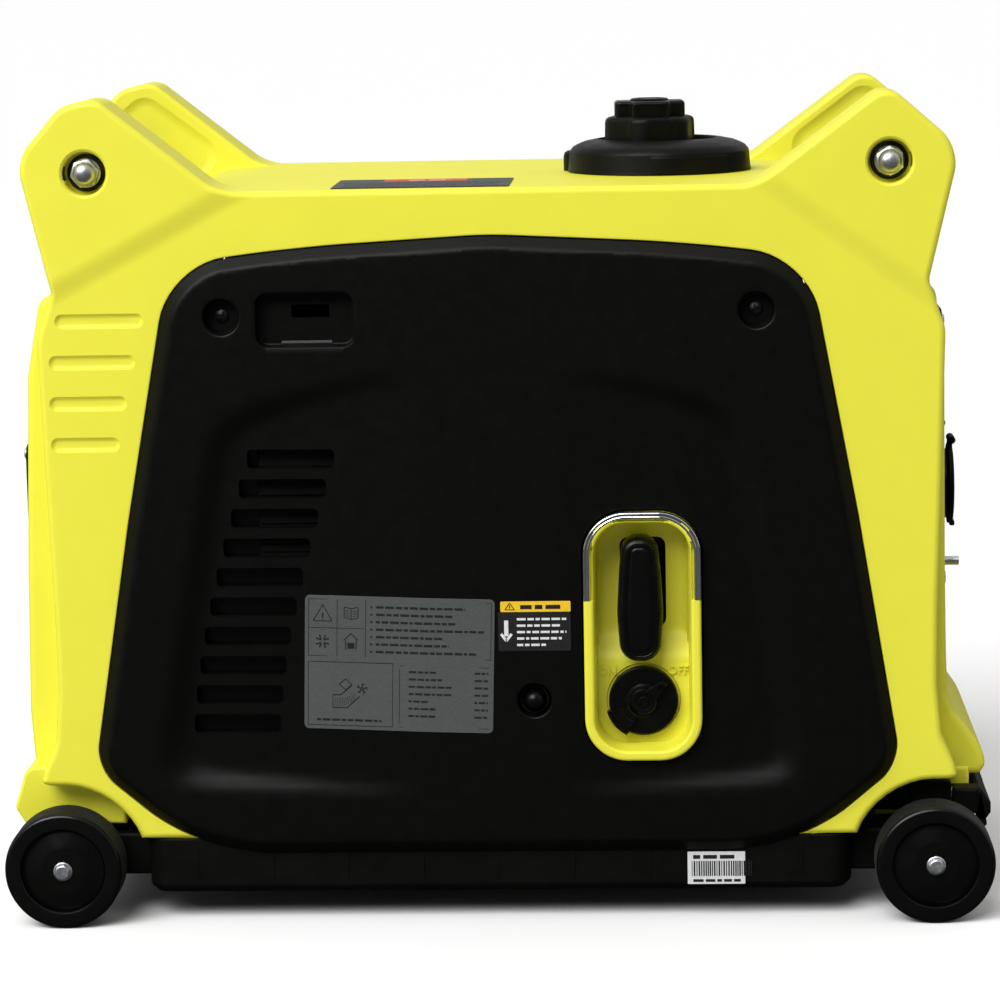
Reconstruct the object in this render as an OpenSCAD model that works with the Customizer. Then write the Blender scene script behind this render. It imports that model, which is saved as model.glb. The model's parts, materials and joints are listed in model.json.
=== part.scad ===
// Portable inverter generator in a closed moulded case, on four wheels.
// X runs along the case (control end at +X), Y from the service side to the rear, Z up.
// The origin is on the ground, under the middle of the case.

/* [Case] */
// Half length of the case at the top of the wheel arches
case_half = 281; // [270:1:285]
// Half depth of the case, front face to middle seam
depth_half = 150; // [146:0.5:150]
// Height of the top deck
deck_z = 465; // [460:1:468]
// Wall thickness of the moulded covers
wall = 3.5; // [2.5:0.5:4]
// Height of the lower edge of the case
skirt_z = 54; // [52:1:56]
// Half width of the space between the front and rear ears
ear_gap = 105; // [98:1:108]

/* [Carry handles] */
// Distance of each handle from the middle
handle_x = 248.7; // [246:0.1:251]
// Height of each handle
handle_z = 477.7; // [475:0.1:480]
// Diameter of the rubber grip
grip_d = 26; // [22:1:28]
// Across-flats size of the acorn nuts
nut_af = 16; // [15:1:17]

/* [Wheels] */
// Wheel diameter
wheel_d = 75; // [74:0.5:75]
// Distance of each axle from the middle
axle_x = 275.6; // [274:0.1:276]
// Wheel width
wheel_w = 29; // [26:1:30]
// Axle bolt shank diameter
axle_d = 10; // [8:1:12]

/* [Tow handle] */
// Diameter of the sliding bars
bar_d = 12; // [10:1:12]
// Distance of each bar from the middle plane
bar_y = 116; // [114:1:118]
// Height of the bars
bar_z = 71; // [70:1:72]

/* [Starter] */
// Middle of the starter pocket along X
pocket_x = 93.5; // [92:0.5:95]
// Height at which the rope leaves
rope_z = 208; // [206:1:210]
// Starter rope diameter
rope_d = 4; // [3:0.5:5]

/* [Exhaust] */
// Outside diameter of the exhaust outlet
outlet_d = 34; // [32:1:38]

/* [Fuel] */
// Middle of the fuel filler along X
filler_x = 101; // [98:1:104]
// Fuel cap diameter
cap_d = 60; // [56:1:62]

/* [Hidden] */
$fn = 64;

gap = 0.4;
arc_steps = 6;
shell_yellow = [0.86, 0.87, 0.18];
satin_black = [0.07, 0.07, 0.07];
base_black = [0.10, 0.10, 0.10];
zinc = [0.72, 0.73, 0.75];
alloy = [0.62, 0.62, 0.60];
sides = [-1, 1];

// front face of the raised service panel
panel_y = -153;
panel_t = 2.8;
slot_count = 10;
slot_pitch = 18.77;
slot_top_z = 297.7;
slot_w = 55;
slot_h = 12.3;
screw_x = 166;
screw_z = 387.5;
primer_x = 25;
primer_z = 143;
knob_z = 139.3;
knob_r = 22;
pocket_w = 74;
pocket_low = 103.7;
pocket_high = 262.4;
pocket_r = 27;
pocket_rim_y = -155;
pocket_back_y = -122;
shelf_y = -133;
trim_low = 206.5;
window = [-144, 368.5, 60.5, 33];

// engine, with its crankshaft along X
crank_y = 8;
outlet_y = 36;
outlet_z = 230;
pulley_r = 38;
crank_z = rope_z - pulley_r;
rotor_r = 84;

axle_z = wheel_d / 2;
arch_r = 51;
bolt_head_y = 167.5;
wheel_face_y = 164.5;
tray_low = 18;
tray_half_x = 224;
tray_half_y = 146;
end_half_y = 98;
end_in_x = 262;
control_x = 290;
socket_y = 43;
socket_z = 262;
socket_r = 26;
button_z = 338;
rocker_pin_x = 281;

// ---- outlines with rounded corners, given as [x, z, radius] anticlockwise ----

function unit(v) = v / norm(v);
function flat(c) = [c[0], c[1]];
function short_turn(a) = a > 180 ? a - 360 : a < -180 ? a + 360 : a;
function mirrored(side) = [for (i = [len(side) - 1 : -1 : 0]) [-side[i][0], side[i][1], side[i][2]]];
function both(side) = concat(side, mirrored(side));

function fillet(a, b, c, r) = r < 0.1 ? [b] :
    let (
        u = unit(a - b),
        v = unit(c - b),
        half = acos(u * v) / 2,
        centre = b + unit(u + v) * r / sin(half),
        p = b + u * r / tan(half) - centre,
        q = b + v * r / tan(half) - centre,
        start = atan2(p[1], p[0]),
        sweep = short_turn(atan2(q[1], q[0]) - start)
    )
    [for (i = [0 : arc_steps]) centre + r * [cos(start + sweep * i / arc_steps),
                                             sin(start + sweep * i / arc_steps)]];

function rounded(corners) =
    let (n = len(corners))
    [for (i = [0 : n - 1]) each fillet(flat(corners[(i + n - 1) % n]), flat(corners[i]),
                                       flat(corners[(i + 1) % n]), corners[i][2])];

function inset_corner(a, b, c, r, t) =
    let (
        u = unit(b - a),
        v = unit(c - b),
        m = [-u[1], u[0]],
        n = [-v[1], v[0]],
        p = b + (m + n) * t / (1 + m * n),
        convex = u[0] * v[1] - u[1] * v[0] > 0
    )
    [p[0], p[1], r < 0.1 ? 0 : max(convex ? r - t : r + t, 0.5)];

function inset(corners, t) =
    let (n = len(corners))
    [for (i = [0 : n - 1]) inset_corner(flat(corners[(i + n - 1) % n]), flat(corners[i]),
                                        flat(corners[(i + 1) % n]), corners[i][2], t)];

function wheel_arch() = [for (a = [161 : -14.2 : 90])
    [axle_x + arch_r * cos(a), axle_z + arch_r * sin(a), 0]];

lower_side = concat(
    [[214, skirt_z, 0]],
    wheel_arch(),
    [[285, 88.6, 0], [290.5, 90, 3], [288.5, 98, 6], [280.5, 116, 20], [277.5, 150, 30], [278, 200, 0],
     [case_half, 300, 0], [case_half + 2, 374, 20], [272.5, 404, 8]]);
ear_side = [[290, 488, 20], [247, 525, 13], [166, deck_z, 30]];
deck_side = [[262, 406, 0], [238, 414, 24], [200, deck_z, 30]];

function shell_outline() = both(concat(lower_side, ear_side));
function deck_outline() = both(concat(lower_side, deck_side));
function panel_outline() = both([
    [150, 45, 60], [198, 53, 60], [254, 100, 16], [228, 258, 0], [198, 419, 34], [120, 429, 0], [8, 435, 0]]);
function pocket_outline() =
    let (
        l = pocket_x - pocket_w / 2,
        r = pocket_x + pocket_w / 2
    )
    [[l, pocket_low, pocket_r], [r, pocket_low, pocket_r],
     [r, pocket_high, pocket_r], [l, pocket_high, pocket_r]];
function end_profile(bulge, chin) = [
    [end_in_x, 84, 0], [chin - 7, 84, 3], [chin, 92, 4], [bulge + 9, 122, 30], [bulge + 3, 220, 0],
    [bulge, 345, 30], [bulge - 9, 396, 10], [end_in_x, 401, 0]];

// ---- placing helpers ----

// stands a flat outline up in the XZ plane, from y0 back to y1
module upright(y0, y1) translate([0, y1, 0]) rotate([90, 0, 0]) linear_extrude(y1 - y0) children();
module box(low, high) translate(low) cube(high - low);
module along_y(x, z, y0, y1, r) translate([x, y0, z]) rotate([-90, 0, 0]) cylinder(h = y1 - y0, r = r);
module along_x(y, z, x0, x1, r) translate([x0, y, z]) rotate([0, 90, 0]) cylinder(h = x1 - x0, r = r);
module rounded_box(low, high, r) {
    corners = [[low[0], low[1], r], [high[0], low[1], r], [high[0], high[1], r], [low[0], high[1], r]];
    translate([0, 0, low[2]]) linear_extrude(high[2] - low[2]) polygon(rounded(corners));
}
module slot_y(x, z, w, h, y0, y1, r) {
    corners = [[x, z, r], [x + w, z, r], [x + w, z + h, r], [x, z + h, r]];
    upright(y0, y1) polygon(rounded(corners));
}

// ---- moulded case ----

module half_shell() {
    difference() {
        union() {
            upright(-depth_half, -gap / 2) polygon(rounded(deck_outline()));
            upright(-depth_half, -ear_gap) polygon(rounded(shell_outline()));
        }
        upright(-depth_half + wall, 1) polygon(rounded(inset(deck_outline(), wall)));
        upright(-depth_half + wall, -ear_gap - wall) polygon(rounded(inset(shell_outline(), wall)));
        box([-tray_half_x, -depth_half + wall, skirt_z - 1], [tray_half_x, 1, skirt_z + 12]);
        for (s = sides) {
            // opening that the end cover fills
            translate([s * 340, 0, 240]) cube([156, 2 * end_half_y, 324], center = true);
            // seat and clearance hole of the handle rod
            along_y(s * handle_x, handle_z, -depth_half - 1, -depth_half + 12, 13.3);
            along_y(s * handle_x, handle_z, -depth_half + 8, -ear_gap + 1, 5.2);
        }
        // clearance for the tow handle guide
        along_x(-bar_y, bar_z, 200, 262, 9.5);
        translate([filler_x, 0, deck_z - 20]) cylinder(h = 40, r = 46);
    }
    // cup that holds the nut and the end of the rod
    for (s = sides) difference() {
        along_y(s * handle_x, handle_z, -depth_half + 1, -ear_gap - 1, 16);
        along_y(s * handle_x, handle_z, -depth_half - 1, -depth_half + 12, 13.3);
        along_y(s * handle_x, handle_z, -depth_half + 10, -ear_gap, 5.2);
    }
}

module shell_slots() {
    shell_slot_left = [-272, -276, -276.5, -276.5];
    shell_slot_right = [-215.4, -221.3, -227.3, -232.7];
    for (i = [0 : 3]) {
        x = shell_slot_left[i] + 6;
        slot_y(x, 381.3 - 25.9 * i, shell_slot_right[i] - x, 8.6, -depth_half - 1, -depth_half + 1.8, 4);
    }
}

module front_shell() color(shell_yellow) difference() {
    half_shell();
    upright(-depth_half - 1, -depth_half + wall + 1) polygon(rounded(inset(panel_outline(), 5)));
    shell_slots();
}

module rear_shell() color(shell_yellow) difference() {
    mirror([0, 1, 0]) half_shell();
    upright(depth_half - wall - 1, depth_half + 1) polygon(rounded(inset(panel_outline(), 5)));
}

module end_tub(bulge, chin) difference() {
    upright(-end_half_y + gap, end_half_y - gap) polygon(rounded(end_profile(bulge, chin)));
    upright(-end_half_y + gap + wall, end_half_y - gap - wall)
        polygon(rounded(inset(end_profile(bulge, chin), wall)));
    box([end_in_x - 1, -end_half_y + wall + gap, 84 + wall],
        [end_in_x + wall + 1, end_half_y - wall - gap, 398]);
}

module exhaust_end_cover() color(shell_yellow) mirror([1, 0, 0]) difference() {
    end_tub(298, 308);
    box([280, -78, 146], [320, 78, 300]);
}

module control_end_cover() color(shell_yellow) difference() {
    end_tub(291, 313);
    box([280, -84, 176], [320, 84, 380]);
}

module base_tray() color(base_black) difference() {
    union() {
        rounded_box([-tray_half_x, -tray_half_y, tray_low], [tray_half_x, tray_half_y, skirt_z - gap], 14);
        for (s = sides) {
            box([s > 0 ? 200 : -290, -128, 26], [s > 0 ? 290 : -200, 128, skirt_z - gap]);
            for (t = sides) along_y(s * axle_x, axle_z, t > 0 ? 110 : -134.5, t > 0 ? 134.5 : -110, 14);
        }
    }
    rounded_box([-tray_half_x + wall, -tray_half_y + wall, tray_low + wall],
                [tray_half_x - wall, tray_half_y - wall, skirt_z + 1], 11);
    for (s = sides) {
        box([s > 0 ? 228 : -256, -120, 30], [s > 0 ? 256 : -228, 120, skirt_z + 1]);
        for (t = sides) along_y(s * axle_x, axle_z, t > 0 ? 100 : -140, t > 0 ? 140 : -100, 4.5);
    }
}

// ---- side panels ----

module panel_slots(y0, y1) for (i = [0 : slot_count - 1]) {
    x = -152.6 - 38.2 * sin(8.2 * i) / sin(73.8);
    slot_y(x, slot_top_z - slot_pitch * i - slot_h / 2, slot_w, slot_h, y0, y1, 3);
}

module panel_blank() {
    upright(panel_y, panel_y + panel_t) polygon(rounded(panel_outline()));
    difference() {
        upright(panel_y + panel_t - 1, -141) polygon(rounded(inset(panel_outline(), 6)));
        upright(panel_y + panel_t - 2, -140) polygon(rounded(inset(panel_outline(), 9)));
        // the rim stops above the tray
        box([-230, -146.6, 40], [230, -139, skirt_z + 1]);
    }
}

module service_panel() color(satin_black) {
    difference() {
        panel_blank();
        panel_slots(panel_y - 1, -140);
        slot_y(window[0], window[1], window[2], window[3], panel_y - 1, -140, 6);
        upright(panel_y - 1, -140) polygon(rounded(inset(pocket_outline(), -gap)));
        for (s = sides) along_y(s * screw_x, screw_z, panel_y - 1, -140, 11);
        along_y(primer_x, primer_z, panel_y - 1, -140, 10.5);
    }
    // louvre box behind the slots
    difference() {
        box([-198, panel_y + panel_t - 0.5, 118], [-86, -141, 308]);
        box([-195, panel_y + panel_t - 1, 121], [-89, -143, 305]);
        for (i = [0 : slot_count - 1])
            translate([-142, -142, slot_top_z - slot_pitch * i]) cube([90, 6, 3], center = true);
    }
    for (s = sides) difference() {
        along_y(s * screw_x, screw_z, panel_y + 1, -138, 13);
        along_y(s * screw_x, screw_z, panel_y, -141, 11);
        along_y(s * screw_x, screw_z, -145, -130, 3);
    }
    difference() {
        along_y(primer_x, primer_z, panel_y + 1, -140, 12.5);
        along_y(primer_x, primer_z, panel_y, -143, 10.5);
        along_y(primer_x, primer_z, -145, -130, 7.6);
    }
}

module rear_panel() color(satin_black) mirror([0, 1, 0]) difference() {
    panel_blank();
    for (i = [0 : 11])
        slot_y(-150, 120 + 20 * i, 130, 9, panel_y - 1, -140, 4);
    for (s = sides) along_y(s * screw_x, screw_z, panel_y - 1, -140, 3);
}

module starter_pocket() color(shell_yellow) difference() {
    union() {
        upright(pocket_rim_y, -118) polygon(rounded(pocket_outline()));
        // keeper tabs behind the panel
        for (z = [120, 184]) box([pocket_x - pocket_w / 2 - 4, -146, z], [pocket_x - 20, -140.5, z + 10]);
    }
    difference() {
        upright(pocket_rim_y - 1, pocket_back_y) polygon(rounded(inset(pocket_outline(), 6)));
        box([0, shelf_y, 100], [200, -100, 163]);
        // sloped step between the shelf and the back wall
        rotate([90, 0, 90]) translate([0, 0, 20]) linear_extrude(150)
            polygon([[shelf_y, 162], [pocket_back_y, 184], [-110, 184], [-110, 157], [shelf_y, 157]]);
    }
    // seat of the chrome trim
    upright(pocket_rim_y - 1, pocket_rim_y + 4) intersection() {
        difference() {
            polygon(rounded(inset(pocket_outline(), -1)));
            polygon(rounded(inset(pocket_outline(), 5)));
        }
        translate([0, trim_low]) square([200, 100]);
    }
    // opening that the recoil grip sits in
    upright(-134, -110) polygon(rounded(grip_outline(-1.2)));
    slot_y(98, 199, 10, 46, -130, -110, 2);
    along_y(pocket_x, knob_z, shelf_y - 0.5, -110, 6.05);
}

module pocket_trim() color([0.85, 0.86, 0.88])
upright(pocket_rim_y - 0.5, pocket_rim_y + 3.6) intersection() {
    difference() {
        polygon(rounded(inset(pocket_outline(), -0.1)));
        polygon(rounded(inset(pocket_outline(), 4.6)));
    }
    translate([0, trim_low + gap]) square([200, 100]);
}

module panel_screws() color(zinc) {
    for (s = sides) {
        difference() {
            along_y(s * screw_x, screw_z, -143.6, -141.2, 5);
            translate([s * screw_x, -143.5, screw_z]) cube([6, 2, 1.2], center = true);
            translate([s * screw_x, -143.5, screw_z]) cube([1.2, 2, 6], center = true);
        }
        along_y(s * screw_x, screw_z, -141.3, -126, 2.5);
        along_y(s * screw_x, screw_z, 153.1, 155.5, 6);
        along_y(s * screw_x, screw_z, 140, 153.2, 2.9);
    }
}

// ---- ends ----

module exhaust_grille() color(base_black) difference() {
    box([-305, -77.5, 146.5], [-293, 77.5, 299.5]);
    box([-302, -73, 151], [-290, 73, 295]);
    for (i = [0 : 9], y = [-36, 36]) if (i < 4 || i > 6 || y < 0)
        translate([-304, y, 160 + 14 * i]) cube([12, 62, 7], center = true);
    along_x(outlet_y, outlet_z, -310, -280, 28);
}

module muffler() color(alloy) difference() {
    union() {
        rounded_box([-255, -66, 165], [-150, 100, 345], 30);
        along_x(outlet_y, outlet_z, -264, -250, 26);
        along_x(crank_y, 322, -151, -72.6, 9);
    }
    rounded_box([-252, -63, 168], [-153, 97, 342], 27);
    along_x(outlet_y, outlet_z, -270, -240, 14.2);
}

module exhaust_outlet() color(zinc) difference() {
    union() {
        along_x(outlet_y, outlet_z, -300, -246, 14);
        along_x(outlet_y, outlet_z, -309, -297, outlet_d / 2);
    }
    along_x(outlet_y, outlet_z, -320, -240, 12);
}

module control_panel() color(base_black) {
    // pin that the economy rocker tilts on
    along_y(rocker_pin_x, button_z, 42, 62, 1.5);
    control_face();
}
module control_face() difference() {
    union() {
        rounded_panel(84 - gap, 176 + gap, 380 - gap, 280, control_x - 1);
        // raised bezel round the two power sockets
        rounded_panel(78, 228, 296, 285, control_x + 1);
    }
    for (s = sides) along_x(s * socket_y, socket_z, 270, 300, socket_r - 3);
    along_x(52, 202, 270, 300, 11.3);
    along_x(-55, 202, 270, 300, 5.05);
    box([270, -70, 318], [300, 0, 358]);
    along_x(24, button_z, 270, 300, 9.05);
    box([270, 42.9, 327], [300, 61.1, 349]);
    along_x(8, 202, 270, 300, 3.1);
}
module rounded_panel(half_y, z0, z1, x0, x1) {
    corners = [[-half_y, z0, 8], [half_y, z0, 8], [half_y, z1, 8], [-half_y, z1, 8]];
    rotate([90, 0, 90]) translate([0, 0, x0]) linear_extrude(x1 - x0) polygon(rounded(corners));
}

module ac_sockets() color(satin_black) for (s = sides) difference() {
    union() {
        along_x(s * socket_y, socket_z, 262, 280 - gap, 26);
        along_x(s * socket_y, socket_z, 279, control_x, socket_r - 3.2);
    }
    along_x(s * socket_y, socket_z, 278, 300, 19.5);
    along_x(s * socket_y - 9.5, socket_z, 268, 300, 2.4);
    along_x(s * socket_y + 9.5, socket_z, 268, 300, 2.4);
}

module dc_socket() color(satin_black) difference() {
    union() {
        along_x(52, 202, 258, 290, 11.2);
        along_x(52, 202, control_x - 1 + gap, 292, 14);
    }
    along_x(52, 202, 262, 300, 9.5);
}

module breaker_body() color(satin_black) difference() {
    box([262, -64, 188], [280 - gap, -46, 216]);
    along_x(-55, 202, 270, 290, 5.05);
}

module earth_terminal() color(zinc) {
    along_x(8, 202, 268, 303, 3);
    difference() {
        along_x(8, 202, control_x - 1 + gap, 293, 6.5);
        along_x(8, 202, 280, 300, 3);
    }
}

module meter_window() color([0.12, 0.16, 0.14]) {
    box([281, -69.5, 318.5], [control_x - 2, -0.5, 357.5]);
}

// ---- fuel ----

module filler_collar() color(base_black) difference() {
    union() {
        translate([filler_x + 6, 0, deck_z + gap]) cylinder(h = 14, r1 = 62, r2 = 59);
        translate([filler_x + 6, 0, deck_z + 14]) cylinder(h = 10, r1 = 57, r2 = 48);
        translate([filler_x - 50, 10, deck_z + gap]) cylinder(h = 10, r = 10);
        translate([filler_x, 0, deck_z - 12]) cylinder(h = 16, r = 45);
    }
    translate([filler_x, 0, deck_z + 8]) cylinder(h = 30, r = cap_d / 2 + 3);
    translate([filler_x, 0, deck_z - 20]) cylinder(h = 40, r = 27);
}

module fuel_tank() color([0.16, 0.16, 0.17]) difference() {
    union() {
        rounded_box([-150, -122, 362], [190, 122, deck_z - wall - 12], 30);
        translate([filler_x, 0, 440]) cylinder(h = 41, r = 26);
    }
    rounded_box([-147, -119, 365], [187, 119, deck_z - wall - 15], 27);
    translate([filler_x, 0, 430]) cylinder(h = 60, r = 23.5);
}

module fuel_cap() color(satin_black) {
    cap_low = deck_z + 11;
    difference() {
        translate([filler_x, 0, cap_low]) cylinder(h = 19, r = cap_d / 2 - 1);
        translate([filler_x, 0, cap_low - 1]) cylinder(h = 8, r = 26.4);
        translate([filler_x, 0, cap_low]) cylinder(h = 30, r = 4);
    }
    for (i = [0 : 7]) rotate_about(filler_x, 45 * i)
        box([filler_x + 27.5, -8, cap_low + 0.5], [filler_x + cap_d / 2, 8, cap_low + 18]);
    difference() {
        translate([filler_x, 0, cap_low - 8]) cylinder(h = 16, r = 23);
        translate([filler_x, 0, cap_low - 9]) cylinder(h = 18, r = 20);
    }
}

module rotate_about(x, a) translate([x, 0, 0]) rotate([0, 0, a]) translate([-x, 0, 0]) children();

module vent_knob() color(satin_black) {
    knob_low = deck_z + 31.6;
    translate([filler_x, 0, knob_low]) cylinder(h = 11, r = 17);
    for (i = [0 : 4]) rotate_about(filler_x, 72 * i)
        box([filler_x + 10, -6, knob_low], [filler_x + 22.5, 6, knob_low + 11.5]);
    translate([filler_x, 0, knob_low - 14]) cylinder(h = 15, r = 3.95);
}

// ---- engine and alternator ----

module crankcase() color(alloy) difference() {
    union() {
        rounded_box([-72, -68, 96], [2, 84, 236], 22);
        along_x(crank_y, crank_z, 1, 12, 44);
        for (x = [-66, -14], y = [-62, 68]) box([x, y, 80], [x + 14, y + 14, 97]);
    }
    rounded_box([-66, -62, 102], [-4, 78, 230], 18);
    along_x(crank_y, crank_z, -10, 20, 12.06);
}

module cylinder_barrel() color(alloy) difference() {
    union() {
        translate([-35, crank_y, 236.2]) cylinder(h = 66, r = 34);
        for (i = [0 : 7]) translate([-35, crank_y, 241 + 8 * i]) cylinder(h = 2.6, r = 48);
    }
    translate([-35, crank_y, 236]) cylinder(h = 70, r = 28);
}

module cylinder_head() color(alloy) {
    translate([-35, crank_y, 302.6]) cylinder(h = 8, r = 46);
    rounded_box([-72, crank_y - 36, 310], [2, crank_y + 36, 334], 10);
    rounded_box([-66, crank_y - 31, 334.2], [-4, crank_y + 31, 354], 8);
}

module spark_plug() color([0.9, 0.9, 0.88]) {
    along_y(-35, 322, crank_y - 66, crank_y - 36.4, 6.5);
    along_y(-35, 322, crank_y - 82, crank_y - 60, 9);
}

module carburettor() color(alloy) {
    rounded_box([-60, -112, 250], [-20, -76, 284], 6);
    along_y(-40, 267, -122.8, -111, 15);
    along_y(-40, 267, -77, crank_y - 49, 12);
    translate([-40, -94, 226]) cylinder(h = 25, r = 15);
}

module air_cleaner() color(base_black) {
    rounded_box([-150, -139, 226], [-6, -123, 404], 6);
    for (i = [0 : 8]) box([-146, -140.4, 238 + 18 * i], [-12, -138.5, 242 + 18 * i]);
}

module stator() color([0.55, 0.32, 0.16]) difference() {
    union() {
        along_x(crank_y, crank_z, 12.4, 52, 40);
        for (i = [0 : 11]) translate([14, crank_y, crank_z]) rotate([30 * i, 0, 0])
            translate([0, -7, 36]) cube([34, 14, 22]);
    }
    along_x(crank_y, crank_z, 10, 60, 17);
}

module rotor() color([0.35, 0.36, 0.38]) {
    difference() {
        along_x(crank_y, crank_z, 16, 62, rotor_r);
        along_x(crank_y, crank_z, 15, 56, 66);
    }
    along_x(crank_y, crank_z, -40, 57, 12);
    along_x(crank_y, crank_z, 61, 78, 20);
    for (i = [0 : 11]) translate([61, crank_y, crank_z]) rotate([30 * i, 0, 0])
        translate([0, -1.5, 22]) cube([14, 3, rotor_r - 26]);
}

module recoil_housing() color(base_black) {
    // pin that the rope pulley turns on
    along_x(crank_y, crank_z, 86.5, 109, 7.95);
    recoil_cover();
}
module recoil_cover() difference() {
    union() {
        along_x(crank_y, crank_z, 80, 112, 92);
        // guide that leads the rope to the pocket
        box([84, -114.5, rope_z - 7], [100, crank_y - 40, rope_z + 7]);
    }
    along_x(crank_y, crank_z, 79, 86, 88);
    along_x(crank_y, crank_z, 84, 108, 42);
    for (i = [0 : 9]) translate([96, crank_y, crank_z]) rotate([36 * i, 0, 0])
        translate([0, 0, 66]) cube([40, 14, 28], center = true);
    along_y(92, rope_z, -120, crank_y, 2.6);
}

module recoil_pulley() color([0.85, 0.85, 0.82])
translate([87, crank_y, crank_z]) rotate([0, 90, 0]) difference() {
    cylinder(h = 18, r = pulley_r + 2.5);
    difference() {
        translate([0, 0, 2.5]) cylinder(h = 5, r = pulley_r + 4);
        translate([0, 0, 2]) cylinder(h = 6, r = pulley_r - rope_d / 2 - 0.5);
    }
    translate([0, 0, -1]) cylinder(h = 20, r = 8);
}

module inverter_module() color(alloy) difference() {
    rounded_box([142, -58, 84], [240, 112, 166], 6);
    for (i = [0 : 13]) box([140, -52 + 12 * i, 150], [242, -46 + 12 * i, 170]);
}

module battery() color([0.12, 0.13, 0.15]) {
    rounded_box([150, -138, 84], [246, -62, 168], 4);
    for (x = [164, 232]) translate([x, -100, 167.5]) cylinder(h = 8, r = 6);
}

module engine_mounts() color([0.05, 0.05, 0.05]) {
    for (x = [-59, -7], y = [-55, 75])
        translate([x, y, tray_low + wall]) cylinder(h = 80 - tray_low - wall, r = 11);
    for (x = [156, 208], y = [-130, -70, 100])
        translate([x, y, tray_low + wall]) cylinder(h = 84 - tray_low - wall, r = 5);
    translate([-200, 17, tray_low + wall]) cylinder(h = 165 - tray_low - wall, r = 9);
}

// ---- carry handles ----

module handle_rods() color(zinc) for (s = sides) along_y(s * handle_x, handle_z, -148, 148, 5);

module handle_grips() color(satin_black) for (s = sides) difference() {
    union() {
        along_y(s * handle_x, handle_z, -ear_gap + gap, ear_gap - gap, grip_d / 2 - 1.5);
        for (i = [-5 : 5]) along_y(s * handle_x, handle_z, 18 * i - 6, 18 * i + 6, grip_d / 2);
    }
    along_y(s * handle_x, handle_z, -110, 110, 5.05);
}

module ear_washers() color([0.25, 0.25, 0.26]) for (s = sides, t = sides) difference() {
    along_y(s * handle_x, handle_z, t > 0 ? 138 : -140, t > 0 ? 140 : -138, 11.8);
    along_y(s * handle_x, handle_z, t > 0 ? 137 : -141, t > 0 ? 141 : -137, 5.1);
}

module acorn_nuts() color(zinc) for (s = sides, t = sides)
    translate([s * handle_x, t * 140, handle_z]) rotate([-90 * t, 0, 0]) difference() {
        union() {
            cylinder(h = 8, r = nut_af / sqrt(3), $fn = 6);
            translate([0, 0, 7]) sphere(r = 6.5);
        }
        translate([0, 0, -1]) cylinder(h = 9.5, r = 5.02);
        translate([0, 0, -8]) cube(16, center = true);
    }

// ---- labels ----

module data_plate() color([0.6, 0.61, 0.62]) translate([-59.8, panel_y - 0.1, 167]) rotate([0, 1.8, 0])
    slot_y(-59.8, -42.8, 119.6, 85.6, -0.6, 0, 4);

module small_labels() {
    color([0.08, 0.08, 0.08]) slot_y(3, 175, 45.6, 32, panel_y - 0.5, panel_y - 0.1, 1);
    color([0.9, 0.9, 0.9]) slot_y(120, 24, 36, 20.6, -146.6, -146.1, 0.5);
    color([0.2, 0.2, 0.2]) box([-97, -138, deck_z + 0.1], [14, -62, deck_z + 0.5]);
}

// ---- wheels ----

module wheel(s, t) color(satin_black) translate([s * axle_x, 0, axle_z]) mirror([0, t > 0 ? 1 : 0, 0])
    translate([0, -wheel_face_y, 0]) rotate([-90, 0, 0]) difference() {
        union() {
            cylinder(h = wheel_w, r = axle_z - 1.5);
            translate([0, 0, 1.5]) cylinder(h = wheel_w - 3, r = axle_z);
        }
        translate([0, 0, -1]) cylinder(h = 4, r1 = 27, r2 = 25.5);
        translate([0, 0, -1]) cylinder(h = wheel_w + 2, r = axle_d / 2 + 0.06);
    }
module wheel_front_left() wheel(-1, -1);
module wheel_front_right() wheel(1, -1);
module wheel_rear_left() wheel(-1, 1);
module wheel_rear_right() wheel(1, 1);

module wheel_bolts() color(zinc) for (s = sides, t = sides)
    translate([s * axle_x, 0, axle_z]) mirror([0, t > 0 ? 1 : 0, 0])
    translate([0, -bolt_head_y, 0]) rotate([-90, 0, 0]) {
        cylinder(h = 4.5, r = 12 / sqrt(3), $fn = 6);
        translate([0, 0, 4]) cylinder(h = 1.5, r = 9);
        translate([0, 0, 5]) cylinder(h = bolt_head_y - 134.6 - 5, r = axle_d / 2);
        translate([0, 0, bolt_head_y - 135]) cylinder(h = 22, r = 4.4);
    }

// ---- tow handle ----

module tow_guides() color(base_black) for (t = sides) difference() {
    union() {
        along_x(t * bar_y, bar_z, 62, 264, 8.5);
        box([262, t * bar_y - 11, skirt_z - gap], [288, t * bar_y + 11, bar_z + 12]);
        for (x = [80, 200]) box([x, t * bar_y - 5, tray_low + wall], [x + 12, t * bar_y + 5, bar_z - 7]);
    }
    along_x(t * bar_y, bar_z, 60, 300, bar_d / 2 + 0.06);
}

module tow_bars() color(zinc) for (t = sides) along_x(t * bar_y, bar_z, -30, 304, bar_d / 2);

module tow_grip() color(base_black) difference() {
    union() {
        rounded_bar();
        for (t = sides) box([289, t * bar_y - 9, bar_z - 9], [306, t * bar_y + 9, bar_z + 10]);
    }
    for (t = sides) along_x(t * bar_y, bar_z, 280, 304.1, bar_d / 2 + 0.01);
}
module rounded_bar() {
    corners = [[303, bar_z - 9, 3], [313, bar_z - 9, 3], [313, bar_z + 10, 3], [303, bar_z + 10, 3]];
    upright(-126, 126) polygon(rounded(corners));
}

// ---- knobs and buttons ----

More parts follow.
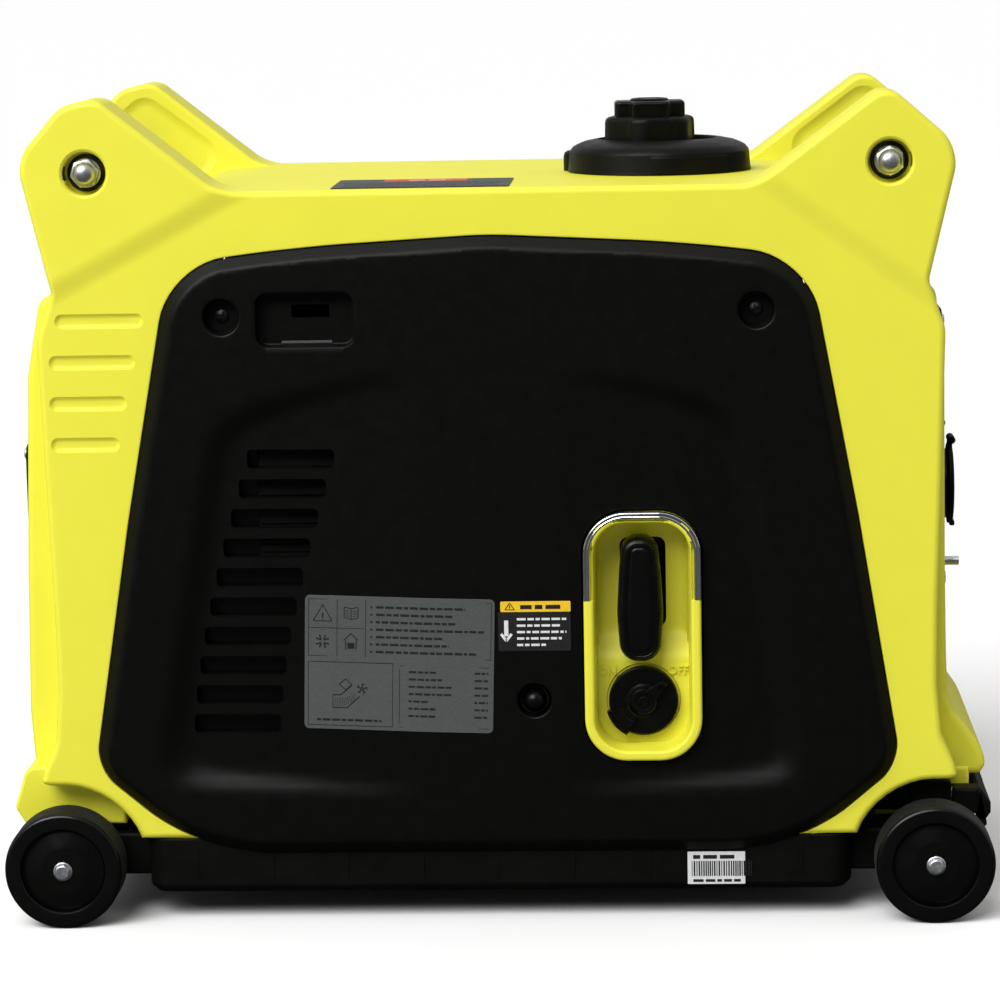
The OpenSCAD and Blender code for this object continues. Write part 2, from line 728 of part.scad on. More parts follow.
module switch_knob() color(satin_black) {
    translate([pocket_x, 0, knob_z]) rotate([90, 0, 0]) {
        translate([0, 0, -shelf_y + 0.5]) cylinder(h = 6, r = knob_r);
        translate([0, 0, -shelf_y - 8]) cylinder(h = 9, r = 6);
        translate([0, 0, -shelf_y + 6]) cylinder(h = 3, r = 8);
        // pointer ridge and the raised sector opposite it
        rotate([0, 0, 41]) translate([0, -2.5, -shelf_y + 6]) cube([knob_r - 1, 5, 5]);
        rotate([0, 0, 195]) rotate_extrude(angle = 48) translate([7, -shelf_y + 2]) square([17, 8]);
    }
}

module recoil_grip() color(satin_black) difference() {
    union() {
        upright(-151, -136) polygon(rounded(grip_outline(0)));
        upright(-137, -131.5) polygon(rounded(grip_outline(2)));
    }
    along_y(92, rope_z, -140, -120, rope_d / 2 + 0.01);
}
function grip_outline(t) = [
    [82 + t, 168.5 + t, 7 - t], [102 - t, 168.5 + t, 7 - t], [105.5 - t, 225, 0], [103 - t, 248 - t, 8 - t],
    [81 + t, 248 - t, 8 - t], [78.5 + t, 225, 0]];

module starter_rope() color([0.8, 0.8, 0.78]) along_y(92, rope_z, -140, crank_y, rope_d / 2);

module primer_bulb() color([0.05, 0.05, 0.05]) {
    along_y(primer_x, primer_z, -149, -138.5, 7.5);
    translate([primer_x, -149, primer_z]) sphere(r = 6.5);
}

module start_button() color([0.1, 0.35, 0.15]) {
    along_x(24, button_z, 283, 294, 9);
    along_x(24, button_z, 276, 284, 5);
}

module economy_rocker() color(satin_black) difference() {
    upright(43.3, 60.7) polygon([[274, 331], [290.5, 330.2], [288.6, 338], [290.5, 345.8], [274, 345]]);
    along_y(rocker_pin_x, button_z, 40, 64, 1.55);
}

module breaker_button() color([0.5, 0.07, 0.06]) along_x(-55, 202, 274, 293, 5);

module socket_lid(s) color(base_black) {
    along_x(s * socket_y, socket_z, control_x + 1.4, control_x + 4.4, socket_r);
    translate([control_x + 2.2, s * socket_y - 9, socket_z + socket_r - 3]) cube([2.2, 18, 6]);
    along_y(control_x + 4, socket_z + socket_r + 3, s * socket_y - 9, s * socket_y + 9, 2.5);
}
module socket_lid_front() socket_lid(-1);
module socket_lid_rear() socket_lid(1);

front_shell();
rear_shell();
exhaust_end_cover();
control_end_cover();
base_tray();
service_panel();
rear_panel();
starter_pocket();
pocket_trim();
exhaust_grille();
muffler();
exhaust_outlet();
control_panel();
ac_sockets();
dc_socket();
breaker_body();
earth_terminal();
meter_window();
filler_collar();
fuel_tank();
crankcase();
cylinder_barrel();
cylinder_head();
spark_plug();
carburettor();
air_cleaner();
recoil_housing();
stator();
inverter_module();
battery();
engine_mounts();
handle_rods();
handle_grips();
ear_washers();
acorn_nuts();
panel_screws();
data_plate();
small_labels();
wheel_bolts();
tow_guides();
wheel_front_left();
wheel_front_right();
wheel_rear_left();
wheel_rear_right();
fuel_cap();
vent_knob();
switch_knob();
recoil_grip();
starter_rope();
recoil_pulley();
primer_bulb();
tow_bars();
tow_grip();
rotor();
start_button();
economy_rocker();
breaker_button();
socket_lid_front();
socket_lid_rear();
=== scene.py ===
import json
import math

import bmesh
import bpy
from mathutils import Matrix, Vector

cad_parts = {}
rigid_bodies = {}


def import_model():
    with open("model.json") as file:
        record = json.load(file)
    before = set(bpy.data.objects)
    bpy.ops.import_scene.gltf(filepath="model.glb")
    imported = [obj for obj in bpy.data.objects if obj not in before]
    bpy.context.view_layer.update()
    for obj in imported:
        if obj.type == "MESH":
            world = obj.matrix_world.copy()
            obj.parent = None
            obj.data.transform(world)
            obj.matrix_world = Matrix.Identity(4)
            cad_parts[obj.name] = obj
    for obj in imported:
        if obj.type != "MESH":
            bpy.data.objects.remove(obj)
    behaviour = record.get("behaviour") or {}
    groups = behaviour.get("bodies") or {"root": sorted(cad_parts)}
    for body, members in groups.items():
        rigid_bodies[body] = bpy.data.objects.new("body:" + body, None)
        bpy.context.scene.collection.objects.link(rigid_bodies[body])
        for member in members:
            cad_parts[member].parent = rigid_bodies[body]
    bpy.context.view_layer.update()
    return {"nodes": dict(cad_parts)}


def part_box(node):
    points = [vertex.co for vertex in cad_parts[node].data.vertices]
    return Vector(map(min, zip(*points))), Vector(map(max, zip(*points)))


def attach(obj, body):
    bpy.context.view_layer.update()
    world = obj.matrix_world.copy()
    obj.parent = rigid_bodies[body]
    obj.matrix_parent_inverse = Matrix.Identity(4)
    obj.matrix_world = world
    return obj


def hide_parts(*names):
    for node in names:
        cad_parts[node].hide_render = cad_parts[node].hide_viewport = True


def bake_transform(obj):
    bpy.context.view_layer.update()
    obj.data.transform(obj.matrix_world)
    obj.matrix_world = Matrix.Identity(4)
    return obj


for leftover in list(bpy.context.scene.objects):    # a new file's cube, lamp and camera
    bpy.data.objects.remove(leftover)
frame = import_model()
scene = bpy.context.scene
mm = 0.001                      # everything below is in millimetres until a piece is finished
print("frame loaded:", len(frame["nodes"]), "parts")


# small helpers

def cadBox(node):               # low and high corner of a CAD part, in millimetres
    low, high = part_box(node)
    return Vector(low) / mm, Vector(high) / mm


def cadMiddle(node):
    low, high = cadBox(node)
    return (low + high) / 2


def smoothRamp(value):          # 0 to 1 with soft ends
    value = min(max(value, 0.0), 1.0)
    return value * value * (3 - 2 * value)


def shift(x, y, z):
    return Matrix.Translation((x, y, z))


def turned(degrees, axis):
    return Matrix.Rotation(math.radians(degrees), 4, axis)


mirrorX = Matrix.Scale(-1, 4, (1, 0, 0))
mirrorY = Matrix.Scale(-1, 4, (0, 1, 0))
mirrorZ = Matrix.Scale(-1, 4, (0, 0, 1))
towardFront = turned(90, "X")   # a part made along Z comes to face the service side
towardRear = turned(-90, "X")
towardControl = turned(90, "Y")
towardExhaust = turned(-90, "Y")
frontToControl = turned(90, "Z")    # a part made facing the service side comes to face +X
frontToExhaust = turned(-90, "Z")


def placed(part, *moves):
    for move in moves:
        bmesh.ops.transform(part, matrix=move, verts=part.verts[:])
    return part


def joined(*parts):
    whole = bmesh.new()
    for part in parts:
        mesh = bpy.data.meshes.new("joining")
        part.to_mesh(mesh)
        part.free()
        whole.from_mesh(mesh)
        bpy.data.meshes.remove(mesh)
    return whole


def painted(part, index, test=None):
    for face in part.faces:
        if test is None or test(face):
            face.material_index = index
    return part


# outlines are corners (x, z, radius), anticlockwise as seen from the service side

def bothSides(side):
    return side + [(-x, z, radius) for x, z, radius in reversed(side)]


def rectangle(x0, z0, x1, z1, radius):
    return [(x0, z0, radius), (x1, z0, radius), (x1, z1, radius), (x0, z1, radius)]


def grown(corners, amount):     # the outline moved outwards, with the same corners
    moved = []
    for i, (x, z, radius) in enumerate(corners):
        here = Vector((x, z))
        into = (here - Vector(corners[i - 1][:2])).normalized()
        out = (Vector(corners[(i + 1) % len(corners)][:2]) - here).normalized()
        m, n = Vector((into.y, -into.x)), Vector((out.y, -out.x))
        spot = here + (m + n) * amount / (1 + m.dot(n))
        convex = into.x * out.y - into.y * out.x > 0
        moved.append((spot.x, spot.y, max(radius + (amount if convex else -amount), 0.3) if radius else 0))
    return moved


def outlinePoints(corners, steps):      # the outline's points, with its corners rounded
    flat = bmesh.new()
    verts = [flat.verts.new((x, 0, z)) for x, z, radius in corners]
    flat.faces.new(verts)
    for i, (x, z, radius) in enumerate(corners):
        if radius:
            here = Vector((x, z))
            into = here - Vector(corners[i - 1][:2])
            out = Vector(corners[(i + 1) % len(corners)][:2]) - here
            reach = radius * math.tan(into.angle(out) / 2)
            bmesh.ops.bevel(flat, geom=[verts[i]], offset=reach, offset_type="OFFSET", segments=steps,
                            profile=0.5, affect="VERTICES", material=-1)
    flat.faces.ensure_lookup_table()
    points = [vert.co.copy() for vert in flat.faces[0].verts]
    flat.free()
    first = Vector((corners[0][0], 0, corners[0][1]))
    start = min(range(len(points)), key=lambda i: (points[i] - first).length)
    return points[start:] + points[:start]


def loft(sections, steps=6, caps=(True, True), closed=False):   # outlines joined up, each at its own y
    part = bmesh.new()
    rings = []
    for corners, y in sections:
        verts = [part.verts.new((p.x, y, p.z)) for p in outlinePoints(corners, steps)]
        rings.append([part.edges.new((verts[i - 1], verts[i])) for i in range(len(verts))])
    for near, far in zip(rings, rings[1:]):
        bmesh.ops.bridge_loops(part, edges=near + far)
    if closed:
        bmesh.ops.bridge_loops(part, edges=rings[0] + rings[-1])
    else:
        for ring, cap in zip((rings[0], rings[-1]), caps):
            if cap:
                bmesh.ops.edgeloop_fill(part, edges=ring)
    bmesh.ops.recalc_face_normals(part, faces=part.faces[:])
    return part


def stepped(corners, sections, steps=6, closed=False):     # one outline, grown by an amount at each y
    return loft([(grown(corners, amount), y) for amount, y in sections], steps, closed=closed)


# sections of a quarter round, from the face to the side
def roundEdge(corners, y, radius, inward, steps=3):
    turns = [math.pi / 2 * i / steps for i in range(steps + 1)]
    return [(grown(corners, -radius * (1 - math.sin(a))), y + inward * radius * (1 - math.cos(a)))
            for a in turns]


def plate(corners, y0, y1, front=0.6, back=0.6, steps=6, roundSteps=2):    # a slab with rounded edges
    sections = roundEdge(corners, y0, front, 1, roundSteps)
    sections += roundEdge(corners, y1, back, -1, roundSteps)[::-1]
    return loft(sections, steps)


def lathe(profile, steps=48):   # profile of (radius, height), turned about Z
    part = bmesh.new()
    verts = [part.verts.new((radius, 0, height)) for radius, height in profile]
    edges = [part.edges.new(pair) for pair in zip(verts, verts[1:])]
    bmesh.ops.spin(part, geom=verts + edges, cent=(0, 0, 0), axis=(0, 0, 1), dvec=(0, 0, 0), angle=math.tau,
                   steps=steps, use_merge=True, use_normal_flip=False, use_duplicate=False)
    bmesh.ops.remove_doubles(part, verts=part.verts[:], dist=0.001)
    bmesh.ops.recalc_face_normals(part, faces=part.faces[:])
    return part


def block(low, high, radius=0.0, segments=2):
    part = bmesh.new()
    bmesh.ops.create_cube(part, size=1)
    size = Vector(high) - Vector(low)
    bmesh.ops.scale(part, vec=size, verts=part.verts[:])
    bmesh.ops.translate(part, vec=Vector(low) + size / 2, verts=part.verts[:])
    if radius:
        bmesh.ops.bevel(part, geom=part.edges[:], offset=radius, offset_type="OFFSET", segments=segments,
                        profile=0.5, affect="EDGES", material=-1)
    return part


def carved(part, tool, operation="DIFFERENCE"):     # exact boolean of two closed parts
    objects = []
    for name, source in (("carveBody", part), ("carveTool", tool)):
        bmesh.ops.remove_doubles(source, verts=source.verts[:], dist=0.001)
        bmesh.ops.recalc_face_normals(source, faces=source.faces[:])
        mesh = bpy.data.meshes.new(name)
        source.to_mesh(mesh)
        source.free()
        objects.append(bpy.data.objects.new(name, mesh))
        scene.collection.objects.link(objects[-1])
    body, cutter = objects
    change = body.modifiers.new("carve", "BOOLEAN")
    change.object = cutter
    change.operation = operation
    change.solver = "EXACT"
    depsgraph = bpy.context.evaluated_depsgraph_get()
    mesh = bpy.data.meshes.new_from_object(body.evaluated_get(depsgraph))
    result = bmesh.new()
    result.from_mesh(mesh)
    for item in objects:
        data = item.data
        bpy.data.objects.remove(item)
        bpy.data.meshes.remove(data)
    bpy.data.meshes.remove(mesh)
    return result


def cutAcross(part, point, normal, test=None):
    faces = [face for face in part.faces if test is None or test(face)]
    geom = set(faces)
    for face in faces:
        geom.update(face.edges)
        geom.update(face.verts)
    bmesh.ops.bisect_plane(part, geom=list(geom), dist=0.0005, plane_co=point, plane_no=normal)


def finishPiece(name, part, looks, body, replaced=(), sharpAngle=32, wall=None, recalc=True):
    bmesh.ops.remove_doubles(part, verts=part.verts[:], dist=0.002)
    if recalc:
        bmesh.ops.recalc_face_normals(part, faces=part.faces[:])
    bmesh.ops.scale(part, vec=(mm, mm, mm), verts=part.verts[:])
    for face in part.faces:
        face.smooth = True
    for edge in part.edges:
        if len(edge.link_faces) == 2 and edge.calc_face_angle(0) > math.radians(sharpAngle):
            edge.smooth = False
    mesh = bpy.data.meshes.new(name)
    part.to_mesh(mesh)
    part.free()
    for look in looks if isinstance(looks, list) else [looks]:
        mesh.materials.append(finish[look])
    piece = bpy.data.objects.new(name, mesh)
    scene.collection.objects.link(piece)
    if wall:
        thicken = piece.modifiers.new("wall", "SOLIDIFY")
        thicken.thickness = wall * mm
        thicken.offset = -1
    weighted = piece.modifiers.new("shading", "WEIGHTED_NORMAL")
    weighted.keep_sharp = True
    if body:
        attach(piece, body)
    if replaced:
        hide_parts(*replaced)
    return piece


# camera, light and floor

view = {
    "place": (0.11288, -2.3896, 0.61519),   # metres, in the part's frame
    "yaw": -2.744, "pitch": 8.740, "roll": -1.082,      # degrees
    "lens": 130.82, "sensor": 36.0,
}
light = {
    "sunStrength": 2.3, "sunAngle": 40, "sunFrom": (-0.5, -1.1, 1.2),
    "sidePower": 24, "sideSize": 1.3, "sidePlace": (-1.5, -1.5, 1.7),
    "zenith": 0.85, "horizon": 0.55, "behindCamera": 0.07,
    "floorColour": (0.96, 0.96, 0.96), "floorBounce": (0.42, 0.42, 0.42),
    "floorMirrored": (0.05, 0.05, 0.05), "floorSize": 60.0,
}


def makeCamera():
    data = bpy.data.cameras.new("viewCamera")
    data.lens = view["lens"]
    data.sensor_width = view["sensor"]
    data.clip_end = 200
    camera = bpy.data.objects.new("viewCamera", data)
    yaw, pitch, roll = (math.radians(view[k]) for k in ("yaw", "pitch", "roll"))
    ahead = Vector((math.sin(yaw) * math.cos(pitch), math.cos(yaw) * math.cos(pitch), -math.sin(pitch)))
    right = Vector((math.cos(yaw), -math.sin(yaw), 0))
    up = right.cross(ahead)
    right, up = (right * math.cos(roll) + up * math.sin(roll), up * math.cos(roll) - right * math.sin(roll))
    turn = Matrix((right, up, -ahead)).transposed()
    camera.matrix_world = Matrix.Translation(view["place"]) @ turn.to_4x4()
    scene.collection.objects.link(camera)
    scene.camera = camera


def makeLights():
    data = bpy.data.lights.new("sun", "SUN")
    data.energy = light["sunStrength"]
    data.angle = math.radians(light["sunAngle"])
    sun = bpy.data.objects.new("sun", data)
    sun.matrix_world = Vector(light["sunFrom"]).to_track_quat("Z", "Y").to_matrix().to_4x4()
    scene.collection.objects.link(sun)
    data = bpy.data.lights.new("softBox", "AREA")
    data.energy = light["sidePower"]
    data.size = light["sideSize"]
    box = bpy.data.objects.new("softBox", data)
    aim = Vector(light["sidePlace"]) - Vector((0, 0, 0.25))
    aimed = aim.to_track_quat("Z", "Y").to_matrix().to_4x4()
    box.matrix_world = Matrix.Translation(light["sidePlace"]) @ aimed
    scene.collection.objects.link(box)
    world = bpy.data.worlds.new("studio")
    scene.world = world
    world.use_nodes = True
    nodes, links = world.node_tree.nodes, world.node_tree.links
    nodes.clear()
    coord = nodes.new("ShaderNodeTexCoord")
    split = nodes.new("ShaderNodeSeparateXYZ")
    height = worldRamp(nodes, 0.0, 0.9, light["horizon"], light["zenith"])
    # the room is dark behind the camera
    facing = worldRamp(nodes, -0.95, -0.25, light["behindCamera"], 1.0)
    strength = nodes.new("ShaderNodeMath")
    strength.operation = "MULTIPLY"
    background = nodes.new("ShaderNodeBackground")
    output = nodes.new("ShaderNodeOutputWorld")
    links.new(coord.outputs["Generated"], split.inputs[0])
    links.new(split.outputs["Z"], height.inputs["Value"])
    links.new(split.outputs["Y"], facing.inputs["Value"])
    links.new(height.outputs[0], strength.inputs[0])
    links.new(facing.outputs[0], strength.inputs[1])
    links.new(strength.outputs[0], background.inputs["Strength"])
    links.new(background.outputs[0], output.inputs[0])


def worldRamp(nodes, fromLow, fromHigh, low, high):
    ramp = nodes.new("ShaderNodeMapRange")
    ramp.interpolation_type = "SMOOTHSTEP"
    ramp.inputs["From Min"].default_value = fromLow
    ramp.inputs["From Max"].default_value = fromHigh
    ramp.inputs["To Min"].default_value = low
    ramp.inputs["To Max"].default_value = high
    return ramp


def makeFloor():
    part = bmesh.new()
    bmesh.ops.create_grid(part, x_segments=1, y_segments=1, size=light["floorSize"])
    mesh = bpy.data.meshes.new("floor")
    part.to_mesh(mesh)
    part.free()
    floor = bpy.data.objects.new("floor", mesh)
    material = bpy.data.materials.new("paleFloor")
    material.use_nodes = True
    nodes, links = material.node_tree.nodes, material.node_tree.links
    shader = nodes["Principled BSDF"]
    path = nodes.new("ShaderNodeLightPath")      # pale to look at, while it bounces less light
    tint = nodes.new("ShaderNodeMix")
    tint.data_type = "RGBA"
    tint.inputs["A"].default_value = (*light["floorBounce"], 1)
    tint.inputs["B"].default_value = (*light["floorColour"], 1)
    links.new(path.outputs["Is Camera Ray"], tint.inputs["Factor"])
    mirrored = nodes.new("ShaderNodeMix")
    mirrored.data_type = "RGBA"
    mirrored.inputs["B"].default_value = (*light["floorMirrored"], 1)
    links.new(path.outputs["Is Glossy Ray"], mirrored.inputs["Factor"])
    links.new(tint.outputs["Result"], mirrored.inputs["A"])
    links.new(mirrored.outputs["Result"], shader.inputs["Base Color"])
    shader.inputs["Roughness"].default_value = 0.85
    shader.inputs["Specular IOR Level"].default_value = 0.1
    mesh.materials.append(material)
    scene.collection.objects.link(floor)


makeCamera()
makeLights()
makeFloor()
scene.view_settings.view_transform = "Standard"
scene.view_settings.look = "None"
print("camera, light and floor set")


# materials

class Nodes:                    # a material's node tree, with short ways to add to it
    def __init__(self, name):
        self.material = bpy.data.materials.new(name)
        self.material.use_nodes = True
        self.tree = self.material.node_tree
        self.shader = self.tree.nodes["Principled BSDF"]
        self.coord = self.tree.nodes.new("ShaderNodeTexCoord").outputs["Object"]

    def add(self, kind, **values):
        node = self.tree.nodes.new(kind)
        for key, value in values.items():
            setattr(node, key, value)
        return node

    def link(self, out, into):
        self.tree.links.new(out, into)

    def noise(self, size, detail=3, stretch=(1, 1, 1), rough=0.55):     # size in millimetres
        mapping = self.add("ShaderNodeMapping")
        mapping.inputs["Scale"].default_value = stretch
        noise = self.add("ShaderNodeTexNoise")
        noise.inputs["Scale"].default_value = 1000 / size
        noise.inputs["Detail"].default_value = detail
        noise.inputs["Roughness"].default_value = rough
        self.link(self.coord, mapping.inputs["Vector"])
        self.link(mapping.outputs[0], noise.inputs["Vector"])
        return noise.outputs[0]

    def ranged(self, value, low, high, fromLow=0.3, fromHigh=0.7):
        node = self.add("ShaderNodeMapRange")
        node.inputs["From Min"].default_value = fromLow
        node.inputs["From Max"].default_value = fromHigh
        node.inputs["To Min"].default_value = low
        node.inputs["To Max"].default_value = high
        self.link(value, node.inputs["Value"])
        return node.outputs[0]

    def blended(self, value, first, second, fromLow=0.35, fromHigh=0.65):   # colour from first to second
        ramp = self.add("ShaderNodeValToRGB")
        ramp.color_ramp.elements[0].position = fromLow
        ramp.color_ramp.elements[0].color = (*first, 1)
        ramp.color_ramp.elements[1].position = fromHigh
        ramp.color_ramp.elements[1].color = (*second, 1)
        self.link(value, ramp.inputs[0])
        return ramp.outputs[0]

    def bump(self, height, depth, before=None):     # depth in millimetres
        bump = self.add("ShaderNodeBump")
        bump.inputs["Strength"].default_value = 1.0
        bump.inputs["Distance"].default_value = depth * mm
        self.link(height, bump.inputs["Height"])
        if before is not None:
            self.link(before, bump.inputs["Normal"])
        return bump.outputs[0]

    def set(self, **values):
        names = {"metal": "Metallic", "rough": "Roughness", "specular": "Specular IOR Level",
                 "coat": "Coat Weight", "coatRough": "Coat Roughness", "sheen": "Sheen Weight"}
        for key, value in values.items():
            self.shader.inputs[names[key]].default_value = value


def shade(colour, factor):
    return tuple(min(part * factor, 1.0) for part in colour)


# moulded plastics: a fine texture from the tool, soft mottling and slightly uneven gloss
plastics = {
    "shellYellow": {"colour": (0.79, 0.755, 0.048), "rough": (0.42, 0.52), "specular": 0.38, "grain": 0.9,
                    "depth": 0.035, "mottle": 0.012},
    "panelBlack": {"colour": (0.0020, 0.0022, 0.0016), "rough": (0.38, 0.46), "specular": 0.15, "grain": 0.8,
                   "depth": 0.03, "mottle": 0.05},
    "trayBlack": {"colour": (0.0026, 0.0028, 0.0021), "rough": (0.46, 0.60), "specular": 0.11, "grain": 1.2,
                  "depth": 0.07, "mottle": 0.2},
    "knobBlack": {"colour": (0.0022, 0.0024, 0.0021), "rough": (0.22, 0.34), "specular": 0.20, "grain": 0.7,
                  "depth": 0.015, "mottle": 0.12},
    "capBlack": {"colour": (0.0028, 0.0032, 0.0024), "rough": (0.34, 0.46), "specular": 0.13, "grain": 0.8,
                 "depth": 0.04, "mottle": 0.2},
    "wheelBlack": {"colour": (0.0024, 0.0024, 0.0022), "rough": (0.18, 0.28), "specular": 0.26, "grain": 1.6,
                   "depth": 0.02, "mottle": 0.15},
    "tankPlastic": {"colour": (0.020, 0.020, 0.023), "rough": (0.40, 0.55), "specular": 0.3, "grain": 2.5,
                    "depth": 0.08, "mottle": 0.12},
    "ceramicWhite": {"colour": (0.78, 0.77, 0.72), "rough": (0.15, 0.25), "specular": 0.5, "grain": 3.0,
                     "depth": 0.01, "mottle": 0.03},
    "buttonGreen": {"colour": (0.012, 0.16, 0.040), "rough": (0.25, 0.34), "specular": 0.4, "grain": 0.8,
                    "depth": 0.01, "mottle": 0.05},
    "buttonRed": {"colour": (0.42, 0.012, 0.010), "rough": (0.25, 0.34), "specular": 0.4, "grain": 0.8,
                  "depth": 0.01, "mottle": 0.05},
}
# metals: cast, drawn, plated or dulled by heat
metals = {
    "chromeTrim": {"colour": (0.86, 0.87, 0.89), "rough": (0.04, 0.09), "size": 6,
                   "depth": 0.002, "stain": (0.80, 0.81, 0.83)},
    "zincSteel": {"colour": (0.90, 0.92, 0.93), "rough": (0.34, 0.48), "size": 1.6,
                  "depth": 0.012, "stain": (0.50, 0.52, 0.55)},
    "drawnSteel": {"colour": (0.62, 0.63, 0.65), "rough": (0.22, 0.36), "size": 1.2, "stretch": (0.06, 1, 1),
                   "depth": 0.010, "stain": (0.52, 0.53, 0.55)},
    "darkSteel": {"colour": (0.055, 0.055, 0.058), "rough": (0.35, 0.5), "size": 2.5,
                  "depth": 0.02, "stain": (0.03, 0.03, 0.032)},
    "heatedSteel": {"colour": (0.40, 0.38, 0.35), "rough": (0.38, 0.6), "size": 14,
                    "depth": 0.03, "stain": (0.24, 0.17, 0.13)},
    "castAlloy": {"colour": (0.56, 0.56, 0.55), "rough": (0.45, 0.62), "size": 1.1,
                  "depth": 0.09, "stain": (0.44, 0.44, 0.43)},
    "copperWire": {"colour": (0.62, 0.25, 0.10), "rough": (0.25, 0.4), "size": 1.4, "stretch": (1, 0.15, 1),
                   "depth": 0.06, "stain": (0.38, 0.12, 0.05)},
}
# printed and lacquered films on the labels
films = {
    "labelSilver": {"colour": (0.082, 0.090, 0.085), "other": (0.066, 0.073, 0.069), "rough": (0.34, 0.46),
                    "size": 0.5, "stretch": (0.15, 1, 1)},
    "labelInk": {"colour": (0.010, 0.010, 0.010), "other": (0.018, 0.018, 0.018), "rough": (0.4, 0.5),
                 "size": 1.0},
    "labelWhite": {"colour": (0.72, 0.73, 0.72), "other": (0.66, 0.67, 0.66), "rough": (0.4, 0.5),
                   "size": 2.0},
    "labelGrey": {"colour": (0.030, 0.031, 0.034), "other": (0.024, 0.025, 0.027), "rough": (0.35, 0.45),
                  "size": 1.5},
    "labelAmber": {"colour": (0.86, 0.55, 0.02), "other": (0.80, 0.50, 0.02), "rough": (0.3, 0.4),
                   "size": 2.0},
    "labelRed": {"colour": (0.62, 0.03, 0.03), "other": (0.56, 0.025, 0.025), "rough": (0.3, 0.4),
                 "size": 2.0},
}


def mouldedPlastic(name, look):
    nodes = Nodes(name)
    nodes.set(specular=look["specular"])
    mottle = nodes.noise(38, 4)
    tint = nodes.blended(mottle, shade(look["colour"], 1 - look["mottle"]),
                         shade(look["colour"], 1 + look["mottle"]))
    nodes.link(tint, nodes.shader.inputs["Base Color"])
    nodes.link(nodes.ranged(nodes.noise(9, 4), *look["rough"]), nodes.shader.inputs["Roughness"])
    ripple = nodes.bump(nodes.noise(16, 2), look["depth"] * 1.6)
    nodes.link(nodes.bump(nodes.noise(look["grain"], 3), look["depth"], ripple),
               nodes.shader.inputs["Normal"])
    return nodes.material


def metalFinish(name, look):
    nodes = Nodes(name)
    nodes.set(metal=1.0)
    stain = nodes.noise(look["size"] * 9, 4)
    nodes.link(nodes.blended(stain, look["stain"], look["colour"]), nodes.shader.inputs["Base Color"])
    fine = nodes.noise(look["size"], 4, look.get("stretch", (1, 1, 1)))
    nodes.link(nodes.ranged(fine, *look["rough"]), nodes.shader.inputs["Roughness"])
    nodes.link(nodes.bump(fine, look["depth"]), nodes.shader.inputs["Normal"])
    return nodes.material


def printedFilm(name, look):
    nodes = Nodes(name)
    nodes.set(specular=0.3)
    fine = nodes.noise(look["size"], 3, look.get("stretch", (1, 1, 1)))
    nodes.link(nodes.blended(fine, look["other"], look["colour"]), nodes.shader.inputs["Base Color"])
    nodes.link(nodes.ranged(nodes.noise(12, 3), *look["rough"]), nodes.shader.inputs["Roughness"])
    nodes.link(nodes.bump(nodes.noise(6, 2), 0.01), nodes.shader.inputs["Normal"])
    return nodes.material


def softRubber(name, colour, grain=0.6):
    nodes = Nodes(name)
    nodes.set(specular=0.12, sheen=0.03)
    nodes.link(nodes.blended(nodes.noise(14, 4), shade(colour, 0.75), shade(colour, 1.3)),
               nodes.shader.inputs["Base Color"])
    nodes.link(nodes.ranged(nodes.noise(5, 4), 0.55, 0.75), nodes.shader.inputs["Roughness"])
    nodes.link(nodes.bump(nodes.noise(grain, 4), 0.06), nodes.shader.inputs["Normal"])
    return nodes.material


def braidedRope(name, colour):
    nodes = Nodes(name)
    nodes.set(specular=0.2, sheen=0.2)
    wave = nodes.add("ShaderNodeTexWave", wave_type="BANDS", bands_direction="DIAGONAL")
    wave.inputs["Scale"].default_value = 320
    wave.inputs["Distortion"].default_value = 1.5
    nodes.link(nodes.coord, wave.inputs["Vector"])
    # the bands darken where the bump sinks: painted shade in the grooves between strands
    nodes.link(nodes.blended(wave.outputs[1], shade(colour, 0.55), colour, 0.1, 0.6),
               nodes.shader.inputs["Base Color"])
    nodes.link(nodes.ranged(nodes.noise(3, 3), 0.7, 0.85), nodes.shader.inputs["Roughness"])
    nodes.link(nodes.bump(wave.outputs[1], 0.25), nodes.shader.inputs["Normal"])
    return nodes.material


def tintedLens(name, colour):
    nodes = Nodes(name)
    nodes.set(specular=0.5, coat=0.6, coatRough=0.05)
    nodes.link(nodes.blended(nodes.noise(30, 2), colour, shade(colour, 1.5)),
               nodes.shader.inputs["Base Color"])
    nodes.link(nodes.ranged(nodes.noise(8, 3), 0.06, 0.12), nodes.shader.inputs["Roughness"])
    nodes.link(nodes.bump(nodes.noise(20, 2), 0.01), nodes.shader.inputs["Normal"])
    return nodes.material


finish = {name: mouldedPlastic(name, look) for name, look in plastics.items()}
finish.update({name: metalFinish(name, look) for name, look in metals.items()})
finish.update({name: printedFilm(name, look) for name, look in films.items()})
finish["gripRubber"] = softRubber("gripRubber", (0.010, 0.010, 0.010))
finish["tyreRubber"] = softRubber("tyreRubber", (0.0065, 0.0065, 0.0062), 1.2)
finish["ropeCord"] = braidedRope("ropeCord", (0.62, 0.62, 0.58))
finish["meterLens"] = tintedLens("meterLens", (0.010, 0.014, 0.012))
print("materials made:", len(finish))


# yellow half shells

